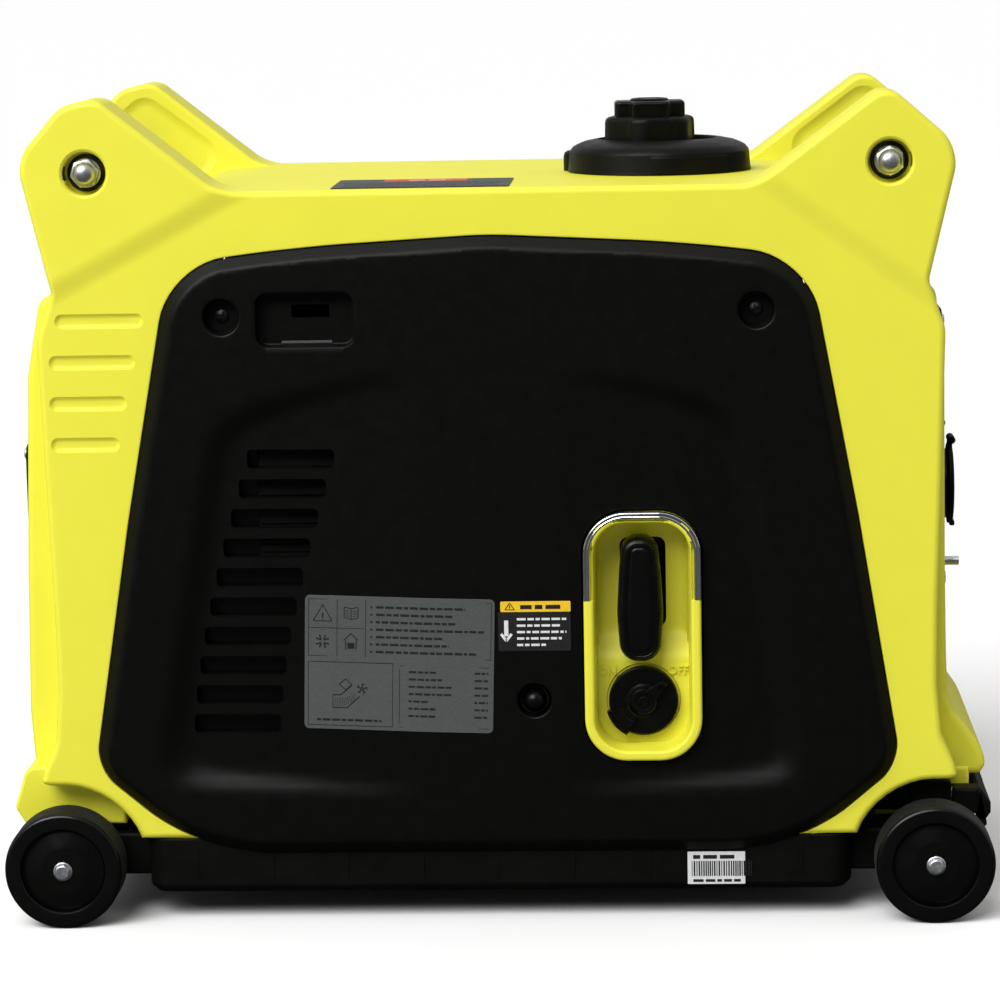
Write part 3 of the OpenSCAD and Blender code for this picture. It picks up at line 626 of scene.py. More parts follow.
shellLow, shellHigh = cadBox("front_shell")
earPad = {"x": 248.7, "z": 477.7}       # handle rod, seen from the service side
shell = {
    "edge": 4.2, "earEdge": 3.4, "wall": 2.6, "bodyStep": 3.0, "creaseWidth": 17,
    "creaseLeft": ((-153.7, 466.2), (-272.5, 402.8)), "creaseRight": ((273.0, 394.4), (178.2, 462.9)),
    "openingGap": 0.7, "openingLip": 1.6, "openingDepth": 10,
    "deck": 465, "neckFoot": 451, "earGap": 105, "earDish": 2.4, "endHalf": 98, "endX": 262,
    "slotTop": 385.6, "slotPitch": 25.9, "slotHeight": 8.6, "slotLeft": (-270.5, -275.0, -275.5, -275.5),
    "slotRight": (-215.4, -221.3, -227.3, -232.7),
}
lowerSide = [(214, 54, 0), (227.4, 54.1, 0), (239.2, 88.5, 50), (285, 88.6, 0), (290.5, 90, 3),
             (288.5, 98, 6), (280.5, 116, 20), (277.5, 150, 30), (278, 200, 0), (281, 300, 0), (283, 374, 20),
             (272.5, 404, 8)]
leftLower = [(-x, z, radius) for x, z, radius in reversed(lowerSide)]
shellOutline = (lowerSide + [(292, 485.5, 26), (247, 525, 14), (166, 465, 30), (-166, 465, 30),
                             (-240.5, 524, 14), (-263, 519, 18), (-291.5, 486, 24)] + leftLower)
deckOutline = bothSides(lowerSide + [(262, 406, 0.5), (238, 414, 24), (200, 465, 30)])
panelOutline = bothSides([(150, 45, 60), (198, 53, 110), (254, 100, 28), (228, 258, 40), (198, 419, 48),
                          (120, 429, 900), (8, 435, 290)])
earDish = [(258, 424, 8), (283, 485, 18), (246.5, 516, 12), (191, 474.5, 14), (223, 444, 26)]
bodyY = shellLow.y + shell["bodyStep"]


def creaseShare(x, z):          # 1 on the ears, 0 on the body below their creases
    share = 0
    for (x0, z0), (x1, z1) in (shell["creaseLeft"], shell["creaseRight"]):
        along = Vector((x1 - x0, z1 - z0)).normalized()
        off = along.x * (z - z0) - along.y * (x - x0)
        share = max(share, smoothRamp(0.5 - off / shell["creaseWidth"]))
    return share


def shellBlank():
    y, back = shellLow.y, -shell["earGap"]
    ears = loft(roundEdge(shellOutline, y, shell["edge"], 1, 4)
                + roundEdge(shellOutline, back, shell["earEdge"], -1, 3)[::-1], 8)
    body = loft([(deckOutline, y + 25), (deckOutline, shellHigh.y)], 8)
    part = carved(ears, body, "UNION")
    for (x0, z0), (x1, z1) in (shell["creaseLeft"], shell["creaseRight"]):
        side = Vector((-(z1 - z0), 0, x1 - x0)).normalized()
        for i in range(-4, 5):
            point = Vector((x0, 0, z0)) + side * shell["creaseWidth"] * i / 8
            cutAcross(part, point, side,
                      lambda face: face.calc_center_median().y < y + 6 and face.normal.y < -0.02)
    for vert in part.verts:
        if vert.co.y < y + 8:
            vert.co.y += shell["bodyStep"] * (1 - creaseShare(vert.co.x, vert.co.z))
    return part


def nutSeat(sign):
    depth = -(shellLow.y + 12.2)
    seat = lathe([(0, -depth), (12.9, -depth), (13.3, -depth + 0.4), (13.5, -depth + 10.2),
                  (14.2, -depth + 11.4), (15.4, -depth + 12.15), (15.8, -depth + 16), (0, -depth + 16)], 56)
    return placed(seat, shift(0, 0, 2 * depth), towardFront, shift(sign * earPad["x"], 0, earPad["z"]))


def shellSlots():
    parts = []
    for i in range(4):
        z = shell["slotTop"] - shell["slotPitch"] * i
        half = shell["slotHeight"] / 2
        slot = rectangle(shell["slotLeft"][i], z - half, shell["slotRight"][i], z + half, 4.2)
        parts.append(stepped(slot, [(1.6, bodyY - 2.6), (0.5, bodyY - 0.1), (-0.2, bodyY + 0.5),
                                    (-1.0, bodyY + 1.5), (-2.6, bodyY + 2.0)], 8))
    return joined(*parts)


def shellCuts(withSlots):
    gap, lip = shell["openingGap"], shell["openingLip"]
    cuts = [stepped(panelOutline, [(gap + lip, bodyY - 5), (gap + lip, bodyY - 0.05),
                                   (gap + 0.45, bodyY + 0.4), (gap, bodyY + 1.4),
                                   (gap, bodyY + shell["openingDepth"])], 10)]
    cuts += [nutSeat(sign) for sign in (-1, 1)]
    for sign in (-1, 1):
        low, high = sorted((sign * shell["endX"], sign * 330))
        cuts.append(block((low, -shell["endHalf"], 79), (high, 20, 402.5)))
        dish = earDish if sign > 0 else [(-x, z, radius) for x, z, radius in reversed(earDish)]
        back, deep = -shell["earGap"], shell["earDish"]
        cuts.append(stepped(dish, [(-6, back - deep), (-3.4, back - deep + 0.25), (-1, back - deep + 1.1),
                                   (0.6, back - 0.5), (1.6, back + 0.02), (1.6, back + 4)], 8))
    neck = cadMiddle("fuel_cap")
    cuts.append(placed(lathe([(0, -14), (46, -14), (46, 8), (0, 8)], 64), shift(neck.x, 0, shell["deck"])))
    if withSlots:
        cuts.append(shellSlots())
    return cuts


def openShell(part):            # takes away the faces that the tray, the seam and the panel leave open
    gone = []
    for face in part.faces:
        x, y, z = face.calc_center_median()
        facing = face.normal
        onSeam = y > shellHigh.y - 0.3 and facing.y > 0.9
        onFoot = z < 60 and abs(x) < 214 and facing.z < -0.9
        onEnd = abs(abs(x) - shell["endX"]) < 0.5 and abs(facing.x) > 0.9
        behindPanel = abs(y - bodyY - shell["openingDepth"]) < 0.3 and facing.y < -0.9
        underNeck = abs(z - shell["neckFoot"]) < 0.5 and abs(facing.z) > 0.9
        if onSeam or onFoot or onEnd or behindPanel or underNeck:
            gone.append(face)
    bmesh.ops.delete(part, geom=gone, context="FACES")
    return part


def makeShells():
    blank = shellBlank()
    for name, mirror in (("front_half_shell", False), ("rear_half_shell", True)):
        part = blank.copy()
        for cut in shellCuts(not mirror):
            part = carved(part, cut)
        part = openShell(part)
        if mirror:
            placed(part, mirrorY)
            bmesh.ops.reverse_faces(part, faces=part.faces[:])
        node = "rear_shell" if mirror else "front_shell"
        finishPiece(name, part, "shellYellow", "root", [node], 35, wall=shell["wall"],
                    recalc=False)
    blank.free()


makeShells()
print("half shells made")


# end covers

endCover = {
    "exhaust": {"opening": (78, 146, 300), "skirtHalf": 126,
                "profile": [(262, 60, 0), (301, 60, 4), (303, 94, 20), (305, 128, 40), (303, 220, 60),
                            (298.5, 345, 30), (289, 396, 10), (262, 401, 0)],
                "skirt": [(240, 59, 0), (305, 59, 3), (311.8, 70, 5), (303.2, 97, 8), (240, 97, 0)]},
    "control": {"opening": (84, 176, 380), "skirtHalf": 99,
                "profile": [(262, 80, 0), (308.5, 80.4, 3), (312, 86, 6), (311, 93, 10), (307.5, 101, 14),
                            (300.5, 111, 14), (292, 121, 14), (288, 132, 14), (287, 160, 40),
                            (286.3, 220, 60), (286, 345, 30), (280, 396, 10), (262, 401, 0)],
                "skirt": [(240, 54.6, 0), (295, 54.6, 3), (301.4, 62, 6), (301.4, 86, 0), (240, 86, 0)]},
    "half": 97.4, "edge": 5, "skirtEdge": 2.4, "hollowTo": 275, "wall": 2.6,
}


def makeEndCover(name, sign, node):
    look = endCover[name]
    half, edge = endCover["half"], endCover["edge"]
    profile = look["profile"]
    part = plate(profile, -half, half, edge, edge, 8, 4)
    wide, edge = look["skirtHalf"], endCover["skirtEdge"]
    skirt = plate(look["skirt"], -wide, wide, edge, edge, 6, 3)
    part = carved(part, skirt, "UNION")
    openHalf, z0, z1 = look["opening"]
    opening = rectangle(-openHalf, z0, openHalf, z1, 9)
    face = max(corner[0] for corner in profile[4:])
    tool = placed(stepped(opening, [(0, -endCover["hollowTo"]), (0, -face + 3), (1.2, -face),
                                    (3.5, -face - 4), (3.5, -335)], 6), frontToControl)
    part = carved(part, tool)
    gone = [face for face in part.faces if abs(face.calc_center_median().x - shell["endX"]) < 0.3
            or (abs(face.calc_center_median().x - endCover["hollowTo"]) < 0.3 and abs(face.normal.x) > 0.9)]
    bmesh.ops.delete(part, geom=gone, context="FACES")
    if sign < 0:
        placed(part, mirrorX)
        bmesh.ops.reverse_faces(part, faces=part.faces[:])
    finishPiece(node + "_moulding", part, "shellYellow", "root", [node], 35,
                wall=endCover["wall"], recalc=False)


makeEndCover("exhaust", -1, "exhaust_end_cover")
makeEndCover("control", 1, "control_end_cover")
print("end covers made")


# service panel

panelLow = cadBox("service_panel")[0]
panel = {
    "front": panelLow.y, "back": panelLow.y + 6.5, "band": 7.2, "grid": 5,
    "dish": [(-219, 85), (218, 85), (186, 206), (173.5, 325), (88, 350.5), (-91, 351.5), (-176, 326)],
    "dishDepth": 6.4, "dishBand": 17, "dishFrom": 45, "dishTo": 190, "dishRound": 0.11,
    "slotCount": 10, "slotTop": 297.7, "slotPitch": 18.77, "slotSize": (55, 12.3), "slotDepth": 14.2,
    "rearSlotDepth": 5.2,
    "window": (-144, 368.5, -83.5, 401.5), "windowDepth": 9.6, "ductDepth": 13,
    "screws": (166, 387.5), "screwSeats": (-143.2, 153.0), "primer": (25, 143),
}


def slotLeft(i):
    return -152.6 - 38.2 * math.sin(math.radians(8.2 * i)) / math.sin(math.radians(73.8))


def dishDepth(x, z):            # how far the middle of the panel lies behind its border
    corners, sharp, total = panel["dish"], panel["dishRound"], 0
    for i, (x1, z1) in enumerate(corners):
        x0, z0 = corners[i - 1]
        length = math.hypot(x1 - x0, z1 - z0)
        total += math.exp(-sharp * ((x1 - x0) * (z - z0) - (z1 - z0) * (x - x0)) / length)
    inside = -math.log(total) / sharp
    share = min(max((abs(x) - panel["dishFrom"]) / (panel["dishTo"] - panel["dishFrom"]), 0), 1)
    band = max(panel["dishBand"] * share, 3)
    return panel["dishDepth"] * share ** 0.8 * smoothRamp(inside / band)


def panelBlank(band, dished):
    front, back = panel["front"], panel["back"]
    part = stepped(panelOutline, [(-12, back + 4), (-5, back), (-0.4, back), (0, back - 0.5),
                                  (-band * 0.72, front + 1.6), (-band * 0.88, front + 0.75),
                                  (-band, front + 0.3), (-band - 1.8, front)], 10)
    onFront = lambda face: face.normal.y < -0.98 and face.calc_center_median().y < front + 0.2
    low, high = -232, 232
    for i in range(int((high - low) / panel["grid"]) + 1):
        cutAcross(part, Vector((low + panel["grid"] * i, 0, 0)), Vector((1, 0, 0)), onFront)
    for i in range(int(396 / panel["grid"])):
        cutAcross(part, Vector((0, 0, 44 + panel["grid"] * i)), Vector((0, 0, 1)), onFront)
    for vert in part.verts:
        if vert.co.y < front + 0.05:
            vert.co.y += dishDepth(vert.co.x, vert.co.z) if dished else 0
    return part


def slotTool(outline, surface, depth, lip=0.0, taper=0.6):
    sections = [(grown(outline, lip), surface - 8), (grown(outline, lip), surface - 0.15),
                (grown(outline, lip * 0.3), surface + 0.35)] if lip else [(outline, surface - 8)]
    return loft(sections + [(outline, surface + 1.1), (grown(outline, -taper), surface + depth - 0.6),
                            (grown(outline, -taper - 0.8), surface + depth)], 6)


def makeServicePanel():
    part = panelBlank(panel["band"], True)
    width, height = panel["slotSize"]
    tools = []
    for i in range(panel["slotCount"]):
        x, z = slotLeft(i), panel["slotTop"] - panel["slotPitch"] * i
        outline = rectangle(x, z - height / 2, x + width, z + height / 2, 3)
        surface = panel["front"] + dishDepth(x + width / 2, z)
        tools.append(slotTool(outline, surface, panel["slotDepth"]))
    x0, z0, x1, z1 = panel["window"]
    opening = rectangle(x0, z0, x1, z1, 6.5)
    tools.append(slotTool(opening, panel["front"], panel["windowDepth"], 1.1, 0.8))
    pocket = pocketOutline()
    tools.append(stepped(pocket, [(3.4, panel["front"] - 2), (2.2, panel["front"] + 0.2),
                                  (1.1, panel["front"] + 0.9), (0.9, panel["front"] + 14)], 10))
    screwWell = [(0, -9.5), (10, -9.5), (10.6, -8.6), (11, -1.2), (11.6, -0.4), (12.8, 0.1), (13, 4), (0, 4)]
    primerWell = [(0, -7), (9.4, -7), (10.2, -6.2), (10.5, -1), (11.0, -0.3), (12, 0.1), (12.2, 4), (0, 4)]
    screwX, screwZ = panel["screws"]
    for well, (x, z) in ((screwWell, (-screwX, screwZ)), (screwWell, (screwX, screwZ)),
                         (primerWell, panel["primer"])):
        tools.append(placed(lathe(well), towardFront, shift(x, panel["front"], z)))
    part = carved(part, joined(*tools))
    finishPiece("service_panel_cover", part, "panelBlack", "root", ["service_panel"], 40)


def makeWindowDuctAndSlotShade():           # ribbed duct seen through the panel's window, with dark plates behind the air slots as painted shade
    x0, z0, x1, z1 = panel["window"]
    y = panel["front"] + panel["ductDepth"]
    parts = [block((x0 + 1, y + 5, z0 + 1), (x1 - 1, y + 6, z1 - 1))]
    for i in range(4):
        x = x0 + 8 + 15 * i
        parts.append(block((x, y - 2.8 + 0.8 * (i % 2), z0 + 4), (x + 2.2, y + 5.5, z1 - 2), 0.5))
    parts.append(block((x0 + 4, y - 1.5, z0 + 12), (x1 - 4, y + 5.5, z0 + 14), 0.5))
    parts.append(block((x0 + 20, y - 3.4, z0 + 16), (x1 - 14, y + 5.5, z0 + 27), 1.5))
    for i in range(panel["slotCount"]):     # dark plates behind the air slots, painted shade that makes the slots read dark
        x, z = slotLeft(i), panel["slotTop"] - panel["slotPitch"] * i
        parts.append(block((x - 3, y + 2, z - 8), (x + panel["slotSize"][0] + 3, y + 3.4, z + 8), 0.5))
    duct = painted(joined(*parts), 0)
    strip = painted(block((x0 + 15, y - 4.4, z0 + 1.4), (x1 - 14, y - 3.6, z0 + 3.0), 0.2), 1)
    # the piece holds the duct and the dark plates that paint shade behind the air slots
    finishPiece("filter_duct_and_slot_shade", joined(duct, strip), ["knobBlack", "labelSilver"], "root", ())


def pocketOutline():
    low, high = cadBox("pocket_trim")
    return rectangle(low.x, cadBox("starter_pocket")[0].z, high.x, high.z, 27)


makeServicePanel()
makeWindowDuctAndSlotShade()
print("service panel made")


# starter pocket

pocketLow, pocketHigh = cadBox("starter_pocket")
trimLow, trimHigh = cadBox("pocket_trim")
starter = {
    "middle": 93.5, "front": pocketLow.y, "back": -122, "shelf": -133, "shelfTop": 163,
    "slopeTop": 184, "opening": (79.3, 183.8, 108.3, 241.6), "trimZ": trimLow.z,
    "letters": (("ON", 70.6), ("OFF", 115.4)), "letterZ": 155.4, "knobZ": 139.3, "keepers": (136, 188),
}


def makePocket():
    outline, front, back = pocketOutline(), starter["front"], starter["back"]
    part = stepped(outline, [(-0.3, back + 6), (-0.3, front + 2.0), (-0.6, front + 1.0), (-1.3, front + 0.25),
                             (-2.3, front), (-4.6, front), (-5.6, front + 0.25), (-6.3, front + 1.0),
                             (-6.8, front + 2.2), (-7.6, front + 12), (-8.4, back - 5), (-9.4, back - 2),
                             (-11.2, back - 0.6), (-13.5, back)], 12)
    for z in range(158, 190, 2):        # cuts that let the back wall bend
        cutAcross(part, Vector((0, 0, z)), Vector((0, 0, 1)),
                  lambda face: face.calc_center_median().y > front + 1)
    for z in (starter["trimZ"] - 0.5, starter["trimZ"]):
        cutAcross(part, Vector((0, 0, z)), Vector((0, 0, 1)))
    for vert in part.verts:
        x, y, z = vert.co
        inside = starter["middle"] - 30.5 < x < starter["middle"] + 30.5 and z > pocketLow.z + 6.5
        rise = smoothRamp((z - starter["shelfTop"]) / (starter["slopeTop"] - starter["shelfTop"]))
        floor = starter["shelf"] + (starter["back"] - starter["shelf"]) * rise
        if inside and y > floor and y < back + 1:
            vert.co.y = floor
        inBowl = abs(x - starter["middle"]) < 31 and z < pocketHigh.z - 6.2
        if z > starter["trimZ"] - 0.1 and y < trimHigh.y and not inBowl:
            vert.co.y = trimHigh.y
    x0, z0, x1, z1 = starter["opening"]
    mouth = rectangle(x0, z0, x1, z1, 5.5)
    part = carved(part, stepped(mouth, [(1.6, back - 16), (0.9, back - 2), (0, back - 0.4), (0, back + 9)],
                                6))
    seat = placed(lathe([(0, -1.2), (22.9, -1.2), (23.3, -0.6), (23.6, 0.2), (23.8, 2), (0, 2)], 64),
                  towardFront, shift(starter["middle"], starter["shelf"], knobMiddle.z))
    part = carved(part, seat)
    letters = [lettering(word, 5.4, 1.6, x, starter["shelf"] - 0.5, starter["letterZ"])
               for word, x in starter["letters"]]
    part = joined(part, *letters)
    for z in starter["keepers"]:    # tabs that show beside the rim
        part = joined(part, block((pocketLow.x - 1.0, panel["front"] + 0.9, z),
                                  (pocketLow.x + 1.5, panel["front"] + 5, z + 10), 0.4))
    finishPiece("starter_pocket_bowl", part, "shellYellow", "root", ["starter_pocket"], 34)


def lettering(word, height, depth, x, y, z):    # raised letters facing the service side
    curve = bpy.data.curves.new("lettering", "FONT")
    curve.body = word
    curve.size = height / 0.7
    curve.extrude = depth / 2
    curve.bevel_depth = 0.06
    curve.resolution_u = 3
    curve.align_x = "CENTER"
    holder = bpy.data.objects.new("lettering", curve)
    scene.collection.objects.link(holder)
    mesh = bpy.data.meshes.new_from_object(holder.evaluated_get(bpy.context.evaluated_depsgraph_get()))
    part = bmesh.new()
    part.from_mesh(mesh)
    bpy.data.objects.remove(holder)
    bpy.data.curves.remove(curve)
    bpy.data.meshes.remove(mesh)
    return placed(part, towardFront, shift(x, y, z))


def makeTrim():                 # chrome bow round the upper half of the pocket, with a groove along it
    outline = pocketOutline()
    front, back = trimLow.y, trimHigh.y
    steps = [(0.0, back), (0.0, front + 1.5), (-0.35, front + 0.55), (-1.0, front + 0.05),
             (-1.7, front + 0.15), (-2.15, front + 0.75), (-2.45, front + 0.75), (-2.9, front + 0.2),
             (-3.6, front + 0.05), (-4.25, front + 0.5), (-4.6, front + 1.4), (-4.6, back)]
    part = stepped(outline, steps, 16, closed=True)
    geom = part.verts[:] + part.edges[:] + part.faces[:]
    bmesh.ops.bisect_plane(part, geom=geom, dist=0.0005, plane_co=(0, 0, starter["trimZ"]),
                           plane_no=(0, 0, 1), clear_inner=True)
    ends = [edge for edge in part.edges if len(edge.link_faces) == 1]
    bmesh.ops.edgeloop_fill(part, edges=ends)
    finishPiece("pocket_trim_bow", part, "chromeTrim", "root", ["pocket_trim"], 50)


knobMiddle = cadMiddle("switch_knob")
knobMiddle.x, knobMiddle.z = starter["middle"], starter["knobZ"]
knob = {"radius": 22, "height": 6.4, "pointerTurn": 41, "wedgeTurns": (195, 243)}


def makeSwitchKnob():
    r = knob["radius"]
    disc = lathe([(0, 0), (r - 0.6, 0), (r, 0.6), (r, 4.6), (r - 0.5, 5.6), (r - 1.4, 6.0), (13, 6.0),
                  (11.8, 5.5), (11.0, 5.5), (10.2, 6.1), (8.6, 6.3), (8.2, 6.8), (8.0, 8.6), (7.5, 9.1),
                  (5.4, 9.1), (4.8, 8.4), (3.4, 8.4), (2.9, 8.9), (1.9, 8.9), (1.5, 8.2), (0, 8.2)], 72)
    pointer = [(6, -4.4, 2), (r - 3.5, -2.4, 2.2), (r - 3.5, 2.4, 2.2), (6, 4.4, 2)]
    blade = loft([(pointer, 0), (pointer, 9.0), (grown(pointer, -0.7), 9.9)], 6)
    hollow = [(12.5, -1.3, 1.1), (r - 5.6, -1.1, 1.0), (r - 5.6, 1.1, 1.0), (12.5, 1.3, 1.1)]
    blade = carved(blade, stepped(hollow, [(0, 8.6), (0, 9.6), (0.6, 10.4)], 4))
    blade = placed(blade, turned(90, "X"), mirrorY, turned(knob["pointerTurn"], "Z"))
    start, end = knob["wedgeTurns"]
    wedge = bmesh.new()         # raised sector opposite the pointer
    profile = [(9.5, 3), (9.5, 8.6), (10.3, 9.4), (12.6, 9.4), (13.2, 8.9), (14.0, 8.9), (14.6, 9.5),
               (r + 1.2, 9.2), (r + 2, 8.4), (r + 2, 3)]
    verts = [wedge.verts.new((radius, 0, height)) for radius, height in profile]
    edges = [wedge.edges.new((verts[i - 1], verts[i])) for i in range(len(verts))]
    face = bmesh.ops.edgeloop_fill(wedge, edges=edges)["faces"]
    bmesh.ops.spin(wedge, geom=face, cent=(0, 0, 0), axis=(0, 0, 1), dvec=(0, 0, 0),
                   angle=math.radians(end - start), steps=16, use_merge=False, use_duplicate=False)
    bmesh.ops.recalc_face_normals(wedge, faces=wedge.faces[:])
    placed(wedge, turned(start, "Z"))
    part = joined(disc, blade, wedge)
    placed(part, towardFront, shift(knobMiddle.x, starter["shelf"] - 0.5, knobMiddle.z))
    finishPiece("switch_knob_dial", part, "knobBlack", "switch_knob", ["switch_knob"], 38)


gripHigh = cadBox("recoil_grip")[1]
grip = {"outline": [(79.6, 166.3, 11.6), (104.4, 166.3, 11.6), (106.5, 197, 60), (105, 224, 60),
                    (102.6, 245.6, 10),
                    (81.4, 245.6, 10), (79, 224, 60), (77.5, 197, 60)],
        "rings": [(-2.0, 0), (-0.4, 1.0), (0, 3), (0, 13.4), (-0.7, 16.2), (-2.2, 17.9), (-3.7, 18.6),
                  (-4.1, 18.35),
                  (-4.5, 18.35), (-4.9, 18.9), (-5.5, 18.9), (-5.9, 18.4), (-6.5, 18.4), (-7.2, 19.0),
                  (-8.6, 19.3)]}


def makeRecoilGrip():
    part = loft([(grown(grip["outline"], inset), gripHigh.y - rise) for inset, rise in grip["rings"]], 12)
    finishPiece("recoil_grip_handle", part, "knobBlack", "recoil", ["recoil_grip"], 40)


def makeStarterRope():
    low, high = cadBox("starter_rope")
    middle, radius = (low + high) / 2, (high.x - low.x) / 2
    part = bmesh.new()
    bmesh.ops.create_cone(part, cap_ends=True, segments=20, radius1=radius, radius2=radius,
                          depth=high.y - low.y)
    placed(part, towardFront, shift(middle.x, middle.y, middle.z))
    for i in range(1, 60):
        cutAcross(part, Vector((0, low.y + (high.y - low.y) * i / 60, 0)), Vector((0, 1, 0)))
    rope = finishPiece("starter_rope_line", part, "ropeCord", None, ["starter_rope"], 50)
    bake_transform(rope)


def makePrimer():
    low = cadBox("primer_bulb")[0]
    x, z = panel["primer"]
    bulb = lathe([(0, -4), (7.5, -4), (7.5, 4.2), (7.2, 5.4), (6.4, 6.0), (6.3, 7.6), (5.9, 9.6), (4.9, 11.4),
                  (3.3, 12.6), (1.6, 13.2), (0, 13.4)], 48)
    placed(bulb, towardFront, shift(x, low.y + 13.4, z))
    finishPiece("primer_bulb_dome", bulb, "knobBlack", "primer", ["primer_bulb"], 40)
    ring = lathe([(7.9, 0), (9.2, 0), (9.2, 1.6), (8.7, 2.1), (8.2, 2.1), (7.9, 1.6), (7.9, 0)], 48)
    placed(ring, towardFront, shift(x, panel["front"] + 7.0, z))
    finishPiece("primer_seat_ring", ring, "darkSteel", "root", (), 40)


makePocket()
makeTrim()
makeSwitchKnob()
makeRecoilGrip()
makeStarterRope()
makePrimer()
print("starter pocket made")


# labels: plain pictures and rows of marks, no words

dataPlate = {"middle": (-59.8, 167.0), "size": (119.6, 85.6), "tilt": 1.8}


def mark(x0, z0, x1, z1, y=0.0, thick=0.12):     # one printed mark, raised by its ink
    return block((min(x0, x1), y - thick, min(z0, z1)), (max(x0, x1), y, max(z0, z1)))


def stroke(x0, z0, x1, z1, width, y=0.0, thick=0.12):      # a printed line between two points
    length = math.hypot(x1 - x0, z1 - z0)
    part = mark(0, -width / 2, length, width / 2, y, thick)
    angle = math.degrees(math.atan2(z1 - z0, x1 - x0))
    return placed(part, turned(-angle, "Y"), shift(x0, 0, z0))


def inked(marks, y):                # the marks, moved to their surface
    return [placed(item, shift(0, y, 0)) for item in marks]


def frameMarks(x0, z0, x1, z1, width):
    return [mark(x0, z0, x1, z0 + width), mark(x0, z1 - width, x1, z1), mark(x0, z0, x0 + width, z1),
            mark(x1 - width, z0, x1, z1)]


def rowOfMarks(x0, z, length, height, seed):     # stands for a line of small print
    parts, x, i = [], x0, seed
    while x < x0 + length:
        i += 1
        width = height * (0.9 + 1.9 * abs(math.sin(i * 2.3)))
        parts.append(mark(x, z, min(x + width, x0 + length), z + height * 0.72))
        x += width + height * 0.55
    return parts


def plateIcons(x0, z0, cell):
    middle = x0 + cell / 2
    parts = []
    top, low, half = z0 + cell * 0.80, z0 + cell * 0.22, cell * 0.33      # warning triangle
    for a, b in (((middle, top), (middle - half, low)), ((middle - half, low), (middle + half, low)),
                 ((middle + half, low), (middle, top))):
        parts.append(stroke(*a, *b, 0.5))
    parts.append(mark(middle - 0.45, low + 2.0, middle + 0.45, low + 5.2))
    parts.append(mark(middle - 0.45, low + 0.8, middle + 0.45, low + 1.4))
    book = x0 + cell * 1.5          # open book
    for side in (-1, 1):
        parts.append(stroke(book, z0 + cell * 0.30, book + side * 4.4, z0 + cell * 0.36, 0.5))
        parts.append(stroke(book, z0 + cell * 0.68, book + side * 4.4, z0 + cell * 0.74, 0.5))
        parts.append(stroke(book + side * 4.4, z0 + cell * 0.36, book + side * 4.4, z0 + cell * 0.74, 0.5))
        for k in range(3):
            parts.append(stroke(book + side * 1.1, z0 + cell * (0.40 + 0.09 * k), book + side * 3.6,
                                z0 + cell * (0.43 + 0.09 * k), 0.3))
    parts.append(stroke(book, z0 + cell * 0.30, book, z0 + cell * 0.68, 0.5))
    z = z0 - cell
    for k, turn in enumerate((0, 90, 180, 270)):      # spread petals round a spot, for hot gas
        part = joined(stroke(1.4, 0, 4.2, 1.6, 0.9), stroke(1.4, 0, 4.2, -1.6, 0.9))
        parts.append(placed(part, turned(turn + 45, "Y"), shift(middle, 0, z + cell * 0.5)))
    roof = book                     # set under a roof
    parts += [stroke(roof - 4.6, z + cell * 0.55, roof, z + cell * 0.80, 0.6),
              stroke(roof + 4.6, z + cell * 0.55, roof, z + cell * 0.80, 0.6),
              mark(roof - 3.6, z + cell * 0.22, roof - 3.0, z + cell * 0.55),
              mark(roof + 3.0, z + cell * 0.22, roof + 3.6, z + cell * 0.55),
              mark(roof - 2.2, z + cell * 0.26, roof + 2.2, z + cell * 0.46)]
    return parts


def plateDiagram(x0, z0):           # oil being poured into a filler
    engine = ((10, 2, 19, 2, 0.6), (19, 2, 27, 9.5, 0.6), (10, 2, 10, 10, 0.4), (10, 10.2, 15, 10.2, 0.6),
              (15, 10.2, 22, 16.5, 0.6))
    can = ((14, 17, 18, 20.5, 0.5), (18, 20.5, 22, 17, 0.5), (14, 17, 18, 13.5, 0.5), (18, 13.5, 22, 17, 0.5))
    parts = [stroke(x0 + x1, z0 + z1, x0 + x2, z0 + z2, width) for x1, z1, x2, z2, width in engine]
    for k in range(9):
        parts.append(stroke(x0 + 11 + 1.5 * k, z0 + 3 + 0.75 * max(k - 4, 0), x0 + 12 + 1.5 * k,
                            z0 + 8.6 + 0.75 * max(k - 4, 0), 0.22))
    for turn in range(5):
        part = joined(stroke(0.4, 0, 3.1, 0.9, 0.8), stroke(3.1, 0.9, 3.1, -0.9, 0.4))
        parts.append(placed(part, turned(72 * turn, "Y"), shift(x0 + 28.5, 0, z0 + 14.5)))
    parts += [stroke(x0 + x1, z0 + z1, x0 + x2, z0 + z2, width) for x1, z1, x2, z2, width in can]
    return parts


